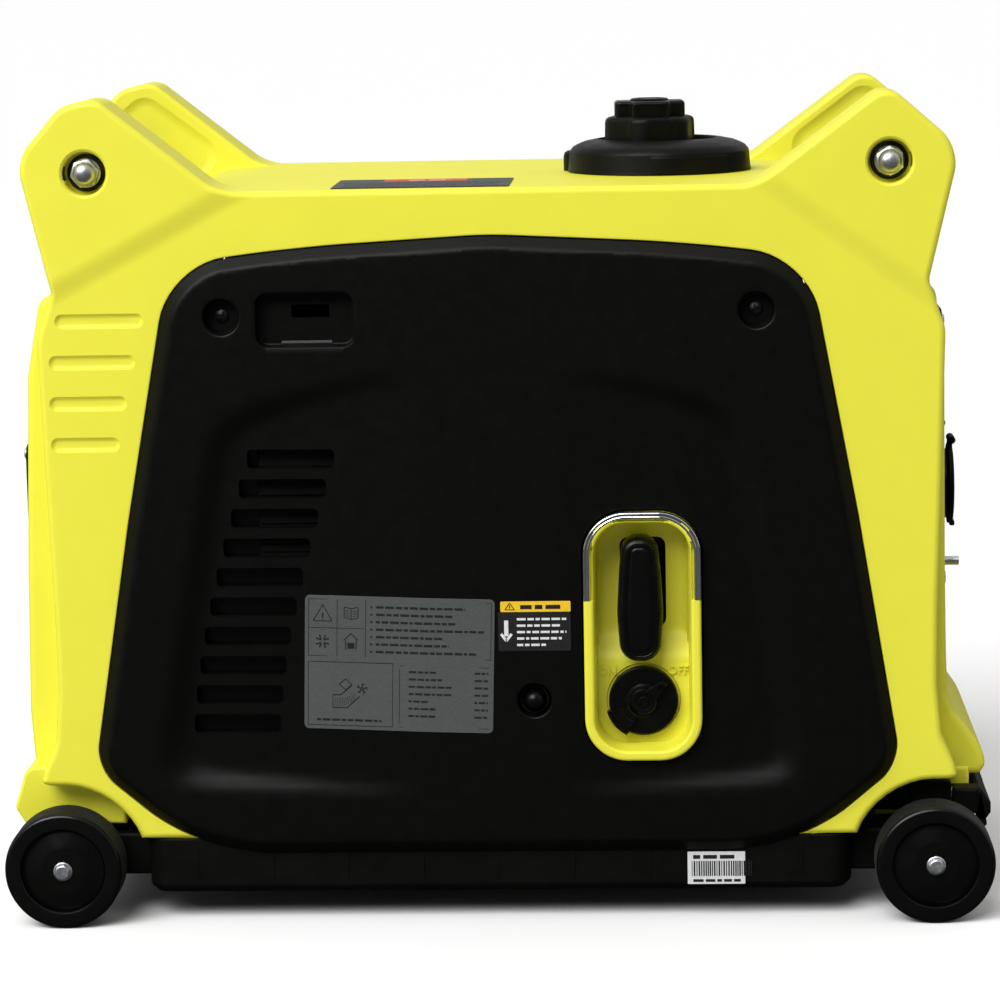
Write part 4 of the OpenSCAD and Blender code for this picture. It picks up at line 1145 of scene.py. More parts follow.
def makeDataPlate():
    width, height = dataPlate["size"]
    left, low = -width / 2, -height / 2
    base = painted(plate(rectangle(left, low, -left, -low, 3.2), 0, 0.55, 0.15, 0.05, 6, 1), 0)
    marks = frameMarks(left + 2.2, 4, -left - 2, -low - 2.2, 0.32)
    marks += [mark(left + 2.2 + 18 * k, 4, left + 2.5 + 18 * k, -low - 2.2) for k in (1, 2)]
    marks.append(mark(left + 2.2, 22, left + 38.2, 22.3))
    marks += plateIcons(left + 2.2, 22.5, 18)
    for k in range(7):              # seven lines of advice, with a dot before each
        z = -low - 7.4 - 4.75 * k
        marks.append(placed(lathe([(0, 0), (0.7, 0), (0.7, 0.12), (0, 0.12)], 10), towardFront,
                            shift(left + 42, 0, z + 0.7)))
        marks += rowOfMarks(left + 45, z, (56, 48, 50, 68, 42, 46, 64)[k], 2.0, 5 * k)
    marks += frameMarks(left + 2.2, low + 2.4, left + 56, 0.6, 0.32)
    marks += plateDiagram(left + 8, low + 12)
    marks += rowOfMarks(left + 8, low + 5.4, 41, 1.9, 3)
    marks.append(mark(left + 60, -1.0, -left - 3, -0.7))
    for k in range(7):              # table of figures
        z = -5.2 - 4.7 * k
        marks += rowOfMarks(left + 66, z, (17, 21, 27, 27, 12, 17, 17)[k], 1.7, 7 * k + 1)
        marks += rowOfMarks(-left - 12, z, 8.5, 1.7, 3 * k + 2)
    marks += [mark(left + 60, low + 2.6, -left - 3, low + 2.9), mark(left + 60, low + 4.6, left + 60.3, -3)]
    inks = painted(joined(*marks), 1)
    part = joined(base, inks)
    x, z = dataPlate["middle"]
    placed(part, turned(dataPlate["tilt"], "Y"), shift(x, panel["front"] - 0.62, z))
    for k in range(13):
        cutAcross(part, Vector((-118 + 9 * k, 0, 0)), Vector((1, 0, 0)),
                  lambda face: face.material_index == 0)
    for vert in part.verts:         # the plate follows the curve of the panel
        vert.co.y += dishDepth(vert.co.x, z)
    finishPiece("data_plate_label", part, ["labelSilver", "labelInk"], "root", ["data_plate"],
                30)


def makeSmallLabels():
    y = panel["front"] - 0.45
    parts = [painted(plate(rectangle(3, 175, 48.6, 199.6, 0.6), y, y + 0.4, 0.08, 0.02, 2, 1), 0),
             painted(plate(rectangle(4.6, 199.9, 48.6, 206.6, 0.6), y, y + 0.4, 0.08, 0.02, 2, 1), 1)]
    white = [mark(6.8, 184.5, 9.4, 194.6, y)]
    white += [stroke(x, 186, 8.1, 181.6, 1.7, y) for x in (4.8, 11.4)]
    for k in range(5):
        row = rowOfMarks(14.8, 194.6 - 4.1 * k, (31, 27, 31, 28, 18)[k], 2.0, 4 * k + 1)
        white += inked(row, y)
    parts.append(painted(joined(*white), 2))
    dark = [stroke(7.4, 201.4, 13.4, 201.4, 0.5, y), stroke(7.4, 201.4, 10.4, 205.6, 0.5, y),
            stroke(13.4, 201.4, 10.4, 205.6, 0.5, y), mark(10.1, 202.2, 10.7, 204.2, y)]
    dark += inked(rowOfMarks(17, 201.7, 27, 3.6, 2), y)
    parts.append(painted(joined(*dark), 0))
    yTray = -146.6                  # inspection label with bars
    parts.append(painted(plate(rectangle(120, 22.2, 156.4, 43.2, 0.3), yTray, yTray + 0.5, 0.05, 0.02, 2, 1),
                         2))
    ink = inked(rowOfMarks(123.5, 38.6, 28, 3.4, 3) + rowOfMarks(123.5, 23.6, 30, 2.4, 8), yTray)
    x = 122.6
    for k in range(27):
        width = 0.45 + 0.55 * abs(math.sin(k * 1.7))
        ink.append(mark(x, 27.4, x + width, 37.2, yTray))
        x += width + 0.42 + 0.35 * abs(math.cos(k * 2.9))
    parts.append(painted(joined(*ink), 0))
    top = joined(painted(plate(rectangle(-97, -138, 14, -62, 1.5), -0.4, 0, 0.06, 0.02, 4, 1), 3),
                 painted(joined(*inked(frameMarks(-95.5, -136.5, 12.5, -63.5, 0.4), -0.4)), 5),
                 painted(mark(-68, -84, -15, -64.5, -0.4), 4))
    rows = []
    for k in range(8):
        rows += inked(rowOfMarks(-91, -92 - 5.6 * k, 98, 1.7, 6 * k), -0.4)
    heading = inked(rowOfMarks(-52, -77, 26, 4, 4), -0.52)
    top = joined(top, painted(joined(*rows), 5), painted(joined(*heading), 2))
    placed(top, turned(-90, "X"), shift(0, 0, 465.2))
    parts.append(top)
    finishPiece("printed_labels", joined(*parts), ["labelInk", "labelAmber", "labelWhite",
                "labelGrey", "labelRed", "labelSilver"], "root", ["small_labels"], 30)


makeDataPlate()
makeSmallLabels()
print("labels made")


# screws, nuts and washers

def hexagon(acrossFlats, turn=0):
    radius = acrossFlats / math.sqrt(3)
    return [(radius * math.cos(math.radians(60 * k + turn)), radius * math.sin(math.radians(60 * k + turn)),
             0)
            for k in range(6)]


def hexHead(acrossFlats, height, turn=0):       # chamfered hexagon, made along Z
    prism = loft([(hexagon(acrossFlats, turn), 0), (hexagon(acrossFlats, turn), height)])
    placed(prism, towardFront, mirrorY)
    bmesh.ops.recalc_face_normals(prism, faces=prism.faces[:])
    radius = acrossFlats / math.sqrt(3)
    dome = lathe([(0, -1), (radius + 0.2, -1), (radius + 0.2, height - radius * 0.16),
                  (acrossFlats / 2 * 0.92, height), (0, height)], 48)
    return carved(prism, dome, "INTERSECT")


def crossed(head, reach, half, low, high):       # the head with a cross slot
    head = carved(head, block((-reach, -half, low), (reach, half, high)))
    return carved(head, block((-half, -reach, low), (half, reach, high)))


def makeScrews():
    heads = []
    for sign in (-1, 1):
        head = lathe([(0, -2), (4.6, -2), (4.9, -1.4), (4.9, -0.2), (4.3, 0.9), (3.0, 1.6), (1.2, 1.9),
                      (0, 1.95)], 40)
        head = crossed(head, 3, 0.55, 0.5, 4)
        washer = lathe([(4, -2.4), (7.0, -2.4), (7.0, -1.9), (6.8, -1.7), (4, -1.7), (4, -2.4)], 40)
        heads.append(placed(joined(head, washer), turned(20 * sign, "Z"), towardFront,
                            shift(sign * panel["screws"][0], panel["screwSeats"][0], panel["screws"][1])))
        rear = lathe([(0, 0), (6, 0), (6, 1.2), (5.2, 2.1), (3.4, 2.5), (0, 2.5)], 40)
        rear = crossed(rear, 3.2, 0.6, 1.2, 4)
        heads.append(placed(rear, towardRear, shift(sign * panel["screws"][0], panel["screwSeats"][1],
                                                    panel["screws"][1])))
    finishPiece("panel_screw_heads", joined(*heads), "darkSteel", "root", ["panel_screws"], 30)


handleNut = {"acrossFlats": 16, "height": 8, "length": 13.5, "washerStart": 15.5}


def makeHandleNuts():
    nuts, washers = [], []
    reach = cadBox("acorn_nuts")[1].y
    for x in (-earPad["x"], earPad["x"]):
        for side, outward in ((-1, towardFront), (1, towardRear)):
            turn = 12 if x < 0 else 32
            nut = hexHead(handleNut["acrossFlats"], handleNut["height"], turn)
            dome = lathe([(0, 6), (7.2, 6), (7.2, 7.6), (6.9, 9.0), (6.0, 11.0), (4.6, 12.5), (2.6, 13.3),
                          (0, 13.5)], 48)
            skirt = lathe([(7, 0), (9.2, 0), (9.2, 0.9), (8.7, 1.3), (7, 1.3), (7, 0)], 48)
            nuts.append(placed(joined(nut, dome, skirt), outward,
                               shift(x, side * (reach - handleNut["length"]), earPad["z"])))
            washer = lathe([(5.1, 0), (11.8, 0), (11.8, 1.4), (11.3, 1.9), (5.1, 1.9), (5.1, 0)], 56)
            washers.append(placed(washer, outward, shift(x, side * (reach - handleNut["washerStart"]),
                                                         earPad["z"])))
    finishPiece("acorn_nut_set", joined(*nuts), "zincSteel", "root", ["acorn_nuts"], 30)
    finishPiece("ear_washer_set", joined(*washers), "darkSteel", "root", ["ear_washers"], 30)


makeScrews()
makeHandleNuts()
print("screws and nuts made")


# wheels

wheel = {"radius": 37.5, "width": 29, "axle": 275.6, "bolt": 8.4, "flange": 6.0, "boltHigh": 4.0}


def makeWheel(name, turn):
    low, high = cadBox(name)
    middle = (low + high) / 2
    sign = 1 if middle.y > 0 else -1
    r, width = wheel["radius"], wheel["width"]
    profile = [(5.1, -width + 6), (5.1, -1.0), (8.5, -1.0), (13.2, -1.0), (14.4, -1.1), (15.6, -1.5),
               (24.6, -4.0), (25.6, -4.2), (25.9, -5.6), (26.6, -5.6), (26.9, -1.0), (27.5, -0.3), (28.3, 0),
               (34.4, 0), (35.6, -0.35), (36.6, -1.2), (37.2, -2.4), (r, -4.0), (r, -width + 4),
               (37.2, -width + 2.4), (36.4, -width + 1.0), (35.2, -width + 0.3), (33.8, -width), (30, -width),
               (29, -width + 1), (29, -width + 8), (28, -width + 9), (14, -width + 9), (13, -width + 8),
               (13, -width + 1), (12, -width), (6, -width), (5.1, -width + 1)]
    part = lathe(profile + [profile[0]], 96)
    painted(part, 1, lambda face: math.hypot(*face.calc_center_median().xy) > 36.9)
    ribs = []
    for k in range(6):              # ribs at the back of the wheel
        ribs.append(placed(block((12, -1.5, -width + 1), (30, 1.5, -width + 9.5), 0.5),
                           turned(60 * k + turn, "Z")))
    part = joined(part, *ribs)
    placed(part, towardRear if sign > 0 else towardFront, shift(middle.x, high.y if sign > 0 else low.y,
                                                                middle.z))
    finishPiece(name + "_tyre", part, ["wheelBlack", "tyreRubber"], name, [name], 28)


def makeWheelBolts():
    parts = []
    boltFace = cadBox("wheel_bolts")[1].y
    for x in (-wheel["axle"], wheel["axle"]):
        for side, outward in ((-1, towardFront), (1, towardRear)):
            head = hexHead(wheel["bolt"], wheel["boltHigh"], 18 if x < 0 else 50)
            rim = wheel["flange"]
            flange = lathe([(0, 0), (rim, 0), (rim, 0.7), (rim - 0.5, 1.1), (0, 1.4)], 48)
            stem = lathe([(0, -30), (5, -30), (5, 0.2), (0, 0.2)], 32)
            tip = lathe([(0, -50), (4.4, -50), (4.4, -28), (0, -28)], 32)
            parts.append(placed(joined(head, flange, stem, tip), outward,
                                shift(x, side * (boltFace - wheel["boltHigh"]), wheel["radius"])))
    finishPiece("wheel_bolt_set", joined(*parts), "zincSteel", "root", ["wheel_bolts"], 30)


for k, name in enumerate(("wheel_front_left", "wheel_front_right", "wheel_rear_left", "wheel_rear_right")):
    makeWheel(name, 17 * k)
makeWheelBolts()
print("wheels made")


# fuel filler, cap and vent knob

capLow, capHigh = cadBox("fuel_cap")
filler = {"x": (capLow.x + capHigh.x) / 2, "shift": 6, "deck": 465.4, "capLift": 3.6, "lobes": 6}


def lobedOutline(radius, depth, count, turn=0, points=96, sharp=0.6):    # round outline with fingers round it
    corners = []
    for k in range(points):
        angle = math.tau * k / points
        wave = math.cos(count * angle + math.radians(turn))
        wave = math.copysign(abs(wave) ** sharp, wave)
        reach = radius - depth * (0.5 - 0.5 * wave)
        corners.append((reach * math.cos(angle), reach * math.sin(angle), 0))
    return corners


def lobedSolid(sections, count, turn=0, sharp=0.6):      # sections of (radius, finger depth, height), along Z
    part = loft([(lobedOutline(radius, depth, count, turn, 96, sharp), height) for radius, depth,
                 height in sections])
    return placed(part, turned(90, "X"), mirrorY)


def makeFiller():
    low = filler["deck"]
    skirt = lathe([(30, -12), (44, -12), (44, 0), (60, 0), (60, 1.0), (59.6, 1.8), (58.8, 12.0), (58.2, 13.6),
                   (56.4, 15.8), (54, 17.2), (49, 19.2), (42, 20.6), (39.2, 21.0), (38, 20.8), (37.2, 19.6),
                   (36.6, 9), (30, 9), (30, -12)], 96)
    pad = bmesh.new()               # raised pad on the front of the skirt
    verts = [pad.verts.new((radius, 0, height)) for radius, height in
             ((54, 0.6), (61.2, 0.6), (61.4, 1.4), (60.6, 10.4), (59.8, 11.6), (54, 12.6))]
    face = pad.faces.new(verts)
    bmesh.ops.spin(pad, geom=[face], cent=(0, 0, 0), axis=(0, 0, 1), dvec=(0, 0, 0), angle=math.radians(52),
                   steps=20, use_merge=False, use_duplicate=False)
    placed(pad, turned(-95, "Z"))
    skirt = carved(skirt, pad, "UNION")
    placed(skirt, shift(filler["x"] + filler["shift"], 0, low))
    lug = placed(lathe([(0, 0), (11, 0), (11, 9), (10.2, 11.6), (8.2, 12.8), (0, 13)], 40),
                 shift(filler["x"] - 46, 10, low))
    part = carved(skirt, lug, "UNION")
    well = placed(lathe([(0, 7), (33.4, 7), (33.4, 17), (34.2, 18.6), (34.6, 40), (0, 40)], 72),
                  shift(filler["x"], 0, low))
    part = carved(part, well)
    finishPiece("filler_collar_skirt", part, "capBlack", "root", ["filler_collar"], 35)


def makeFuelCap():
    low = filler["deck"] + 10.6 + filler["capLift"]
    part = lobedSolid([(27.6, 0.6, 0), (28.8, 1.4, 0.6), (29.8, 2.4, 2.2), (30, 2.6, 3.6), (29.6, 2.6, 17.0),
                       (29.3, 2.6, 18.8), (28.6, 2.4, 19.9), (27.0, 1.8, 20.7), (24.6, 0.5, 21.2),
                       (20.4, 0, 21.6), (19.8, 0, 21.0), (15.0, 0, 21.0), (13.4, 0, 21.4), (12.2, 0, 22.4),
                       (11.4, 0, 22.6)], filler["lobes"], 258, 0.35)
    placed(part, shift(filler["x"], 0, low))
    finishPiece("fuel_cap_body", part, "capBlack", "fuel_cap", ["fuel_cap"], 32)


def makeVentKnob():
    low = filler["deck"] + 34.0
    reach, half = 22.6, 12.6        # cross with wide arms
    cross = [(reach, -half, 3), (reach, half, 3), (half, half, 1.6), (half, reach, 3), (-half, reach, 3),
             (-half, half, 1.6), (-reach, half, 3), (-reach, -half, 3), (-half, -half, 1.6),
             (-half, -reach, 3), (half, -reach, 3), (half, -half, 1.6)]
    part = stepped(cross, [(-1.2, 0), (-0.4, 0.3), (0, 1.0), (0, 9.4), (-0.3, 10.3), (-1.0, 11.0),
                           (-2.0, 11.3), (-2.6, 11.3)], 5)
    part = placed(part, turned(90, "X"), mirrorY, turned(3, "Z"))
    hub = lathe([(9.4, -6), (9.4, 0.5), (12.4, 10), (12.4, 12.0), (11.8, 12.6), (10.6, 12.8), (10.0, 12.2),
                 (5.2, 12.1), (4.6, 12.6), (0, 12.7)], 56)
    part = joined(part, hub)
    placed(part, shift(filler["x"], 0, low))
    finishPiece("vent_knob_body", part, "knobBlack", "vent_knob", ["vent_knob"], 32)


makeFiller()
makeFuelCap()
makeVentKnob()
print("fuel filler made")


# base tray

tray = {"halfX": 224, "halfY": 146, "low": 18, "top": 53.6, "wall": 3.5, "armLow": 26, "armHalf": 128}


def trayOutline(inset=0.0, corner=14):          # plan of the tray
    x, y = tray["halfX"] - inset, tray["halfY"] - inset
    return rectangle(-x, -y, x, y, max(corner - inset, 1))


def standing(part):                             # turns a part made along Y so that it stands along Z
    return placed(part, turned(90, "X"), mirrorY)


def makeBaseTray():
    low, top, wall = tray["low"], tray["top"], tray["wall"]
    tub = standing(loft([(trayOutline(5.6), low), (trayOutline(4.2), low + 0.35),
                         (trayOutline(0.9), low + 3.6), (trayOutline(0.25), low + 4.8),
                         (trayOutline(0), low + 6.2), (trayOutline(0), top - 0.8), (trayOutline(0.8), top)],
                        6))
    hollow = standing(loft([(trayOutline(wall + 2), low + wall), (trayOutline(wall), low + wall + 2),
                            (trayOutline(wall), top + 2)], 6))
    tub = carved(tub, hollow)
    arms = []
    for sign in (-1, 1):
        axle = sign * wheel["axle"]
        x0, x1 = sorted((sign * 200, sign * 290))
        arm = block((x0, -tray["armHalf"], tray["armLow"]), (x1, tray["armHalf"], top), 2.5, 3)
        gap = sorted((sign * 228, sign * 256))
        arm = carved(arm, block((gap[0], -120, 30), (gap[1], 120, top + 2)))
        inner = sorted((sign * 190, sign * 219))
        arm = carved(arm, block((inner[0], -140, low + 5), (inner[1], 140, top + 2)))
        for side in (-1, 1):
            boss = placed(lathe([(4.6, 0), (14, 0), (14, 22.5), (13.4, 24), (12.2, 24.5), (6.4, 24.5),
                                 (4.6, 23.4), (4.6, 0)], 48), towardFront if side < 0 else towardRear,
                          shift(axle, side * 110, wheel["radius"]))
            arm = carved(arm, boss, "UNION")
            for z in (32, 44):      # gussets beside each axle boss
                rib = block((axle - 22, side * 119 - 1.2, z - 1.2), (axle - 4, side * 119 + 6, z + 1.2), 0.4)
                arms.append(rib)
        arms.append(arm)
    ribs = []
    for k in range(-5, 6):          # stiffening ribs under the tray
        ribs.append(block((38 * k - 1.5, -130, low + 0.58), (38 * k + 1.5, 130, low + 4.5), 0.4))
    for y in (-90, 0, 90):
        ribs.append(block((-205, y - 1.5, low + 0.6), (205, y + 1.5, low + 4.5), 0.4))
    for k in range(-4, 5):
        for side in (-1, 1):        # shallow pads along the two long faces
            face = side * tray["halfY"]
            ribs.append(block((48 * k - 0.9, min(face, face + side * 0.45), low + 9),
                              (48 * k + 0.9, max(face, face + side * 0.45), top - 5), 0.2))
    part = joined(tub, *arms, *ribs)
    finishPiece("base_tray_moulding", part, "trayBlack", "root", ["base_tray"], 35)


makeBaseTray()
print("base tray made")


# rear panel

rearPanel = {"slots": 12, "left": -150, "width": 130, "low": 120, "pitch": 20, "height": 9}


def makeRearPanel():
    part = panelBlank(panel["band"], False)
    tools = []
    for i in range(rearPanel["slots"]):
        z = rearPanel["low"] + rearPanel["pitch"] * i
        x = rearPanel["left"]
        tools.append(slotTool(rectangle(x, z, x + rearPanel["width"], z + rearPanel["height"], 4),
                              panel["front"], panel["rearSlotDepth"]))
    frameWide = rectangle(20, 110, 170, 372, 22)        # shallow raised-edge field beside the slots
    tools.append(stepped(frameWide, [(4, panel["front"] - 3), (1.2, panel["front"] - 0.1),
                                     (0, panel["front"] + 0.7), (-1.5, panel["front"] + 1.2)], 8))
    part = carved(part, joined(*tools))
    placed(part, mirrorY)
    bmesh.ops.reverse_faces(part, faces=part.faces[:])
    finishPiece("rear_panel_cover", part, "panelBlack", "root", ["rear_panel"], 40)


makeRearPanel()
print("rear panel made")


# exhaust end

grilleLow, grilleHigh = cadBox("exhaust_grille")
outletMiddle = cadMiddle("exhaust_outlet")
outletLow, outletHigh = cadBox("exhaust_outlet")
exhaust = {"outletHole": 28, "rows": 10, "rowLow": 160, "rowPitch": 14, "rowHeight": 7, "column": 36,
           "half": 31}


def makeExhaustGrille():
    outline = rectangle(grilleLow.y, grilleLow.z, grilleHigh.y, grilleHigh.z, 9)
    front, back = grilleLow.x, grilleHigh.x
    part = stepped(outline, [(0, back), (0, front + 2.6), (-0.5, front + 1.0), (-1.5, front + 0.2),
                             (-2.6, front), (-6.6, front), (-7.6, front + 0.5), (-8.2, front + 1.6),
                             (-9, front + 1.8)], 8)
    outletX = -outletMiddle.y
    tools = []
    for i in range(exhaust["rows"]):
        z = exhaust["rowLow"] + exhaust["rowPitch"] * i
        for x in (-exhaust["column"], exhaust["column"]):
            if x * outletX > 0 and abs(z - outletMiddle.z) < exhaust["outletHole"] + 6:
                continue
            slot = rectangle(x - exhaust["half"], z - exhaust["rowHeight"] / 2, x + exhaust["half"],
                             z + exhaust["rowHeight"] / 2, 3)
            tools.append(stepped(slot, [(1.8, front - 1), (1.0, front + 1.6), (0, front + 2.6),
                                        (0, back + 3)], 5))
    part = carved(part, joined(*tools))
    hole = placed(lathe([(0, -16), (exhaust["outletHole"], -16), (exhaust["outletHole"], -3.4),
                         (exhaust["outletHole"] + 1.2, -1.6), (exhaust["outletHole"] + 3, 2), (0, 2)], 64),
                  towardFront, shift(outletX, front, outletMiddle.z))
    part = carved(part, hole)
    for x, z in ((-70.5, 153.5), (70.5, 153.5), (-70.5, 292.5), (70.5, 292.5)):
        screw = lathe([(0, 0), (3.6, 0), (3.6, 0.8), (2.8, 1.5), (0, 1.8)], 28)
        screw = carved(screw, block((-2.2, -0.4, 0.9), (2.2, 0.4, 3)))
        part = joined(part, painted(placed(screw, towardFront, shift(x, front + 0.3, z)), 1))
    placed(part, frontToExhaust)
    finishPiece("exhaust_grille_frame", part, ["trayBlack", "zincSteel"], "root", ["exhaust_grille"],
                35)


def makeExhaustOutlet():
    length = outletHigh.x - outletLow.x
    tube = lathe([(12, 0), (14, 0), (14, length - 13), (15.6, length - 12), (16.6, length - 10.5),
                  (17, length - 8), (17, length - 2.2), (16.5, length - 0.8), (15.4, length), (13.6, length),
                  (12.6, length - 0.7), (12, length - 2.2), (12, 0)], 56)
    screen = []
    for k in range(-3, 4):          # spark screen set back in the outlet
        half = math.sqrt(11.9 ** 2 - (3.2 * k) ** 2)
        screen.append(block((3.2 * k - 0.4, -half, length - 7), (3.2 * k + 0.4, half, length - 6.2)))
        screen.append(block((-half, 3.2 * k - 0.4, length - 6.6), (half, 3.2 * k + 0.4, length - 5.8)))
    part = joined(tube, *screen)
    placed(part, towardExhaust, shift(outletHigh.x, outletMiddle.y, outletMiddle.z))
    finishPiece("exhaust_outlet_pipe", part, "heatedSteel", "root", ["exhaust_outlet"], 35)


makeExhaustGrille()
makeExhaustOutlet()
print("exhaust end made")


# control end

control = {
    "front": -285.4, "back": -277, "half": 83.6, "low": 176.4, "high": 379.6, "bezel": (78, 228, 296, -287.2),
    "socketY": 43, "socketFace": -279.6, "socketZ": 262, "lidRadius": 26, "meter": (-70, 318, 0, 358),
    "button": (24, 338),
    "rocker": (42.9, 327, 61.1, 349), "dc": (52, 202), "breaker": (-55, 202), "earth": (8, 202),
}


def roundTool(x, z, radius, front, depth, lip=0.8):      # bore with an eased edge, seen from the front
    tool = lathe([(0, -depth), (radius, -depth), (radius, -lip), (radius + lip * 0.3, -lip * 0.35),
                  (radius + lip, 0), (radius + lip, 3), (0, 3)], 56)
    return placed(tool, towardFront, shift(x, front, z))


def makeControlPanel():
    front, back = control["front"], control["back"]
    outline = rectangle(-control["half"], control["low"], control["half"], control["high"], 8)
    part = stepped(outline, [(0, back), (0, front + 1.2), (-0.4, front + 0.4), (-1.2, front), (-3.6, front),
                             (-4.2, front + 0.5), (-4.8, front)], 8)
    bezelHalf, z0, z1, bezelFront = control["bezel"]
    bezel = rectangle(-bezelHalf, z0, bezelHalf, z1, 8)
    part = carved(part, stepped(bezel, [(0, back - 3), (0, bezelFront + 0.9), (-0.3, bezelFront + 0.25),
                                        (-1, bezelFront)], 8), "UNION")
    for sign in (-1, 1):
        part = carved(part, roundTool(sign * control["socketY"], control["socketZ"], 23, bezelFront, 20))
    for spot, radius in (("dc", 11.3), ("breaker", 5.05), ("earth", 3.1), ("button", 9.05)):
        part = carved(part, roundTool(*control[spot], radius, front, 20, 0.4))
    for spot, corner in (("meter", 2.5), ("rocker", 0.8)):
        opening = rectangle(*control[spot], corner)
        part = carved(part, stepped(opening, [(1.0, front - 2), (0.7, front), (0, front + 0.7),
                                              (0, back + 3)], 6))
    marks = []                      # printed rings and rules round the fittings
    for spot, radius in (("button", 14), ("breaker", 10), ("dc", 18), ("earth", 11)):
        x, z = control[spot]
        marks.append(placed(lathe([(radius, 0), (radius + 0.7, 0), (radius + 0.7, 0.12), (radius, 0.12),
                                   (radius, 0)], 56), towardFront, shift(x, front, z)))
    marks += inked([mark(-76, z, 76, z + 0.7) for z in (306, 222)], front)
    for x in (14, 44, -64, -6, 44):
        marks += inked(rowOfMarks(x, 364 if x > 0 else 182, 18, 2.4, x), front)
    for x, z in ((-76, 184), (76, 184), (-76, 372), (76, 372)):
        screw = lathe([(0, -1), (3.8, -1), (3.8, 0.9), (3.0, 1.6), (0, 1.9)], 28)
        screw = crossed(screw, 2.3, 0.4, 1.0, 3)
        marks.append(painted(placed(screw, towardFront, shift(x, front, z)), 2))
    for item in marks[:-4]:
        painted(item, 1)
    part = joined(part, *marks)
    placed(part, frontToControl)
    finishPiece("control_panel_face", part, ["trayBlack", "labelWhite", "zincSteel"], "root",
                ["control_panel"], 35)


def makeSockets():
    parts = []
    for sign in (-1, 1):
        body = lathe([(0, 18.4), (26, 18.4), (26, 1), (22.8, 0.9), (22.8, -10), (22.4, -10.6), (20.6, -10.6),
                      (19.9, -10), (19.4, -8), (19.4, 1.6), (0, 1.6)][::-1], 64)
        body = placed(body, mirrorZ)
        for x in (-9.5, 9.5):
            body = carved(body, placed(lathe([(0, -14), (2.4, -14), (2.4, -2.2), (3.2, -1.5), (3.2, 1),
                                              (0, 1)], 28), shift(x, 0, 0)))
        for side in (-1, 1):
            clip = block((-3, min(side * 16.4, side * 19.6), -2), (3, max(side * 16.4, side * 19.6), 8.4),
                         0.6)
            body = joined(body, painted(clip, 1))
        placed(body, towardFront, shift(sign * control["socketY"], control["socketFace"], control["socketZ"]))
        parts.append(body)
    part = joined(*parts)
    placed(part, frontToControl)
    finishPiece("power_socket_pair", part, ["knobBlack", "zincSteel"], "root", ["ac_sockets"],
                35)
    dc = lathe([(0, -30), (11.2, -30), (11.2, 0.4), (14, 0.4), (14, 2.2), (13.2, 3), (10.6, 3), (9.5, 2.2),
                (9.5, -24), (3, -24), (3, -8), (2.2, -7), (0, -7)], 48)
    placed(dc, towardFront, shift(control["dc"][0], control["front"], control["dc"][1]))
    placed(dc, frontToControl)
    finishPiece("low_voltage_socket", dc, "knobBlack", "root", ["dc_socket"], 35)


def makeSocketLid(node, sign):
    low = cadBox(node)[0]
    radius = control["lidRadius"]
    lid = lathe([(0, 0.3), (22, 0.3), (22.6, 0), (radius, 0), (radius, 1.8), (radius - 0.5, 2.6),
                 (radius - 1.4, 3), (21.4, 3), (20.6, 2.5), (19.8, 2.4), (19, 2.9), (0, 3)], 72)
    bolt = stroke(-2.5, 6, 2.5, 0.4, 1.4, 0, 0.5)        # plain spark mark, raised
    other = stroke(2.5, 0.4, -2.5, -0.2, 1.2, 0, 0.5)
    last = stroke(-2.5, -0.2, 2.0, -6, 1.4, 0, 0.5)
    sparkMark = placed(joined(bolt, other, last), shift(0, -2.9, 0))
    tab = block((-9, -2.8, radius - 3), (9, -0.4, radius + 3), 0.6)
    barrel = placed(lathe([(0, -9), (2.1, -9), (2.5, -8.6), (2.5, 8.6), (2.1, 9), (0, 9)], 28),
                    turned(90, "Y"), shift(0, -2.4, radius + 3))
    pull = block((-7, -4.4, -radius - 1.2), (7, -1.0, -radius + 2.4), 0.9)
    part = joined(placed(lid, towardFront), sparkMark, tab, barrel, pull)
    placed(part, shift(sign * control["socketY"], -low.x, control["socketZ"]), frontToControl)
    finishPiece(node + "_flap", part, "trayBlack", "lid_front" if sign < 0 else "lid_rear", [node],
                35)


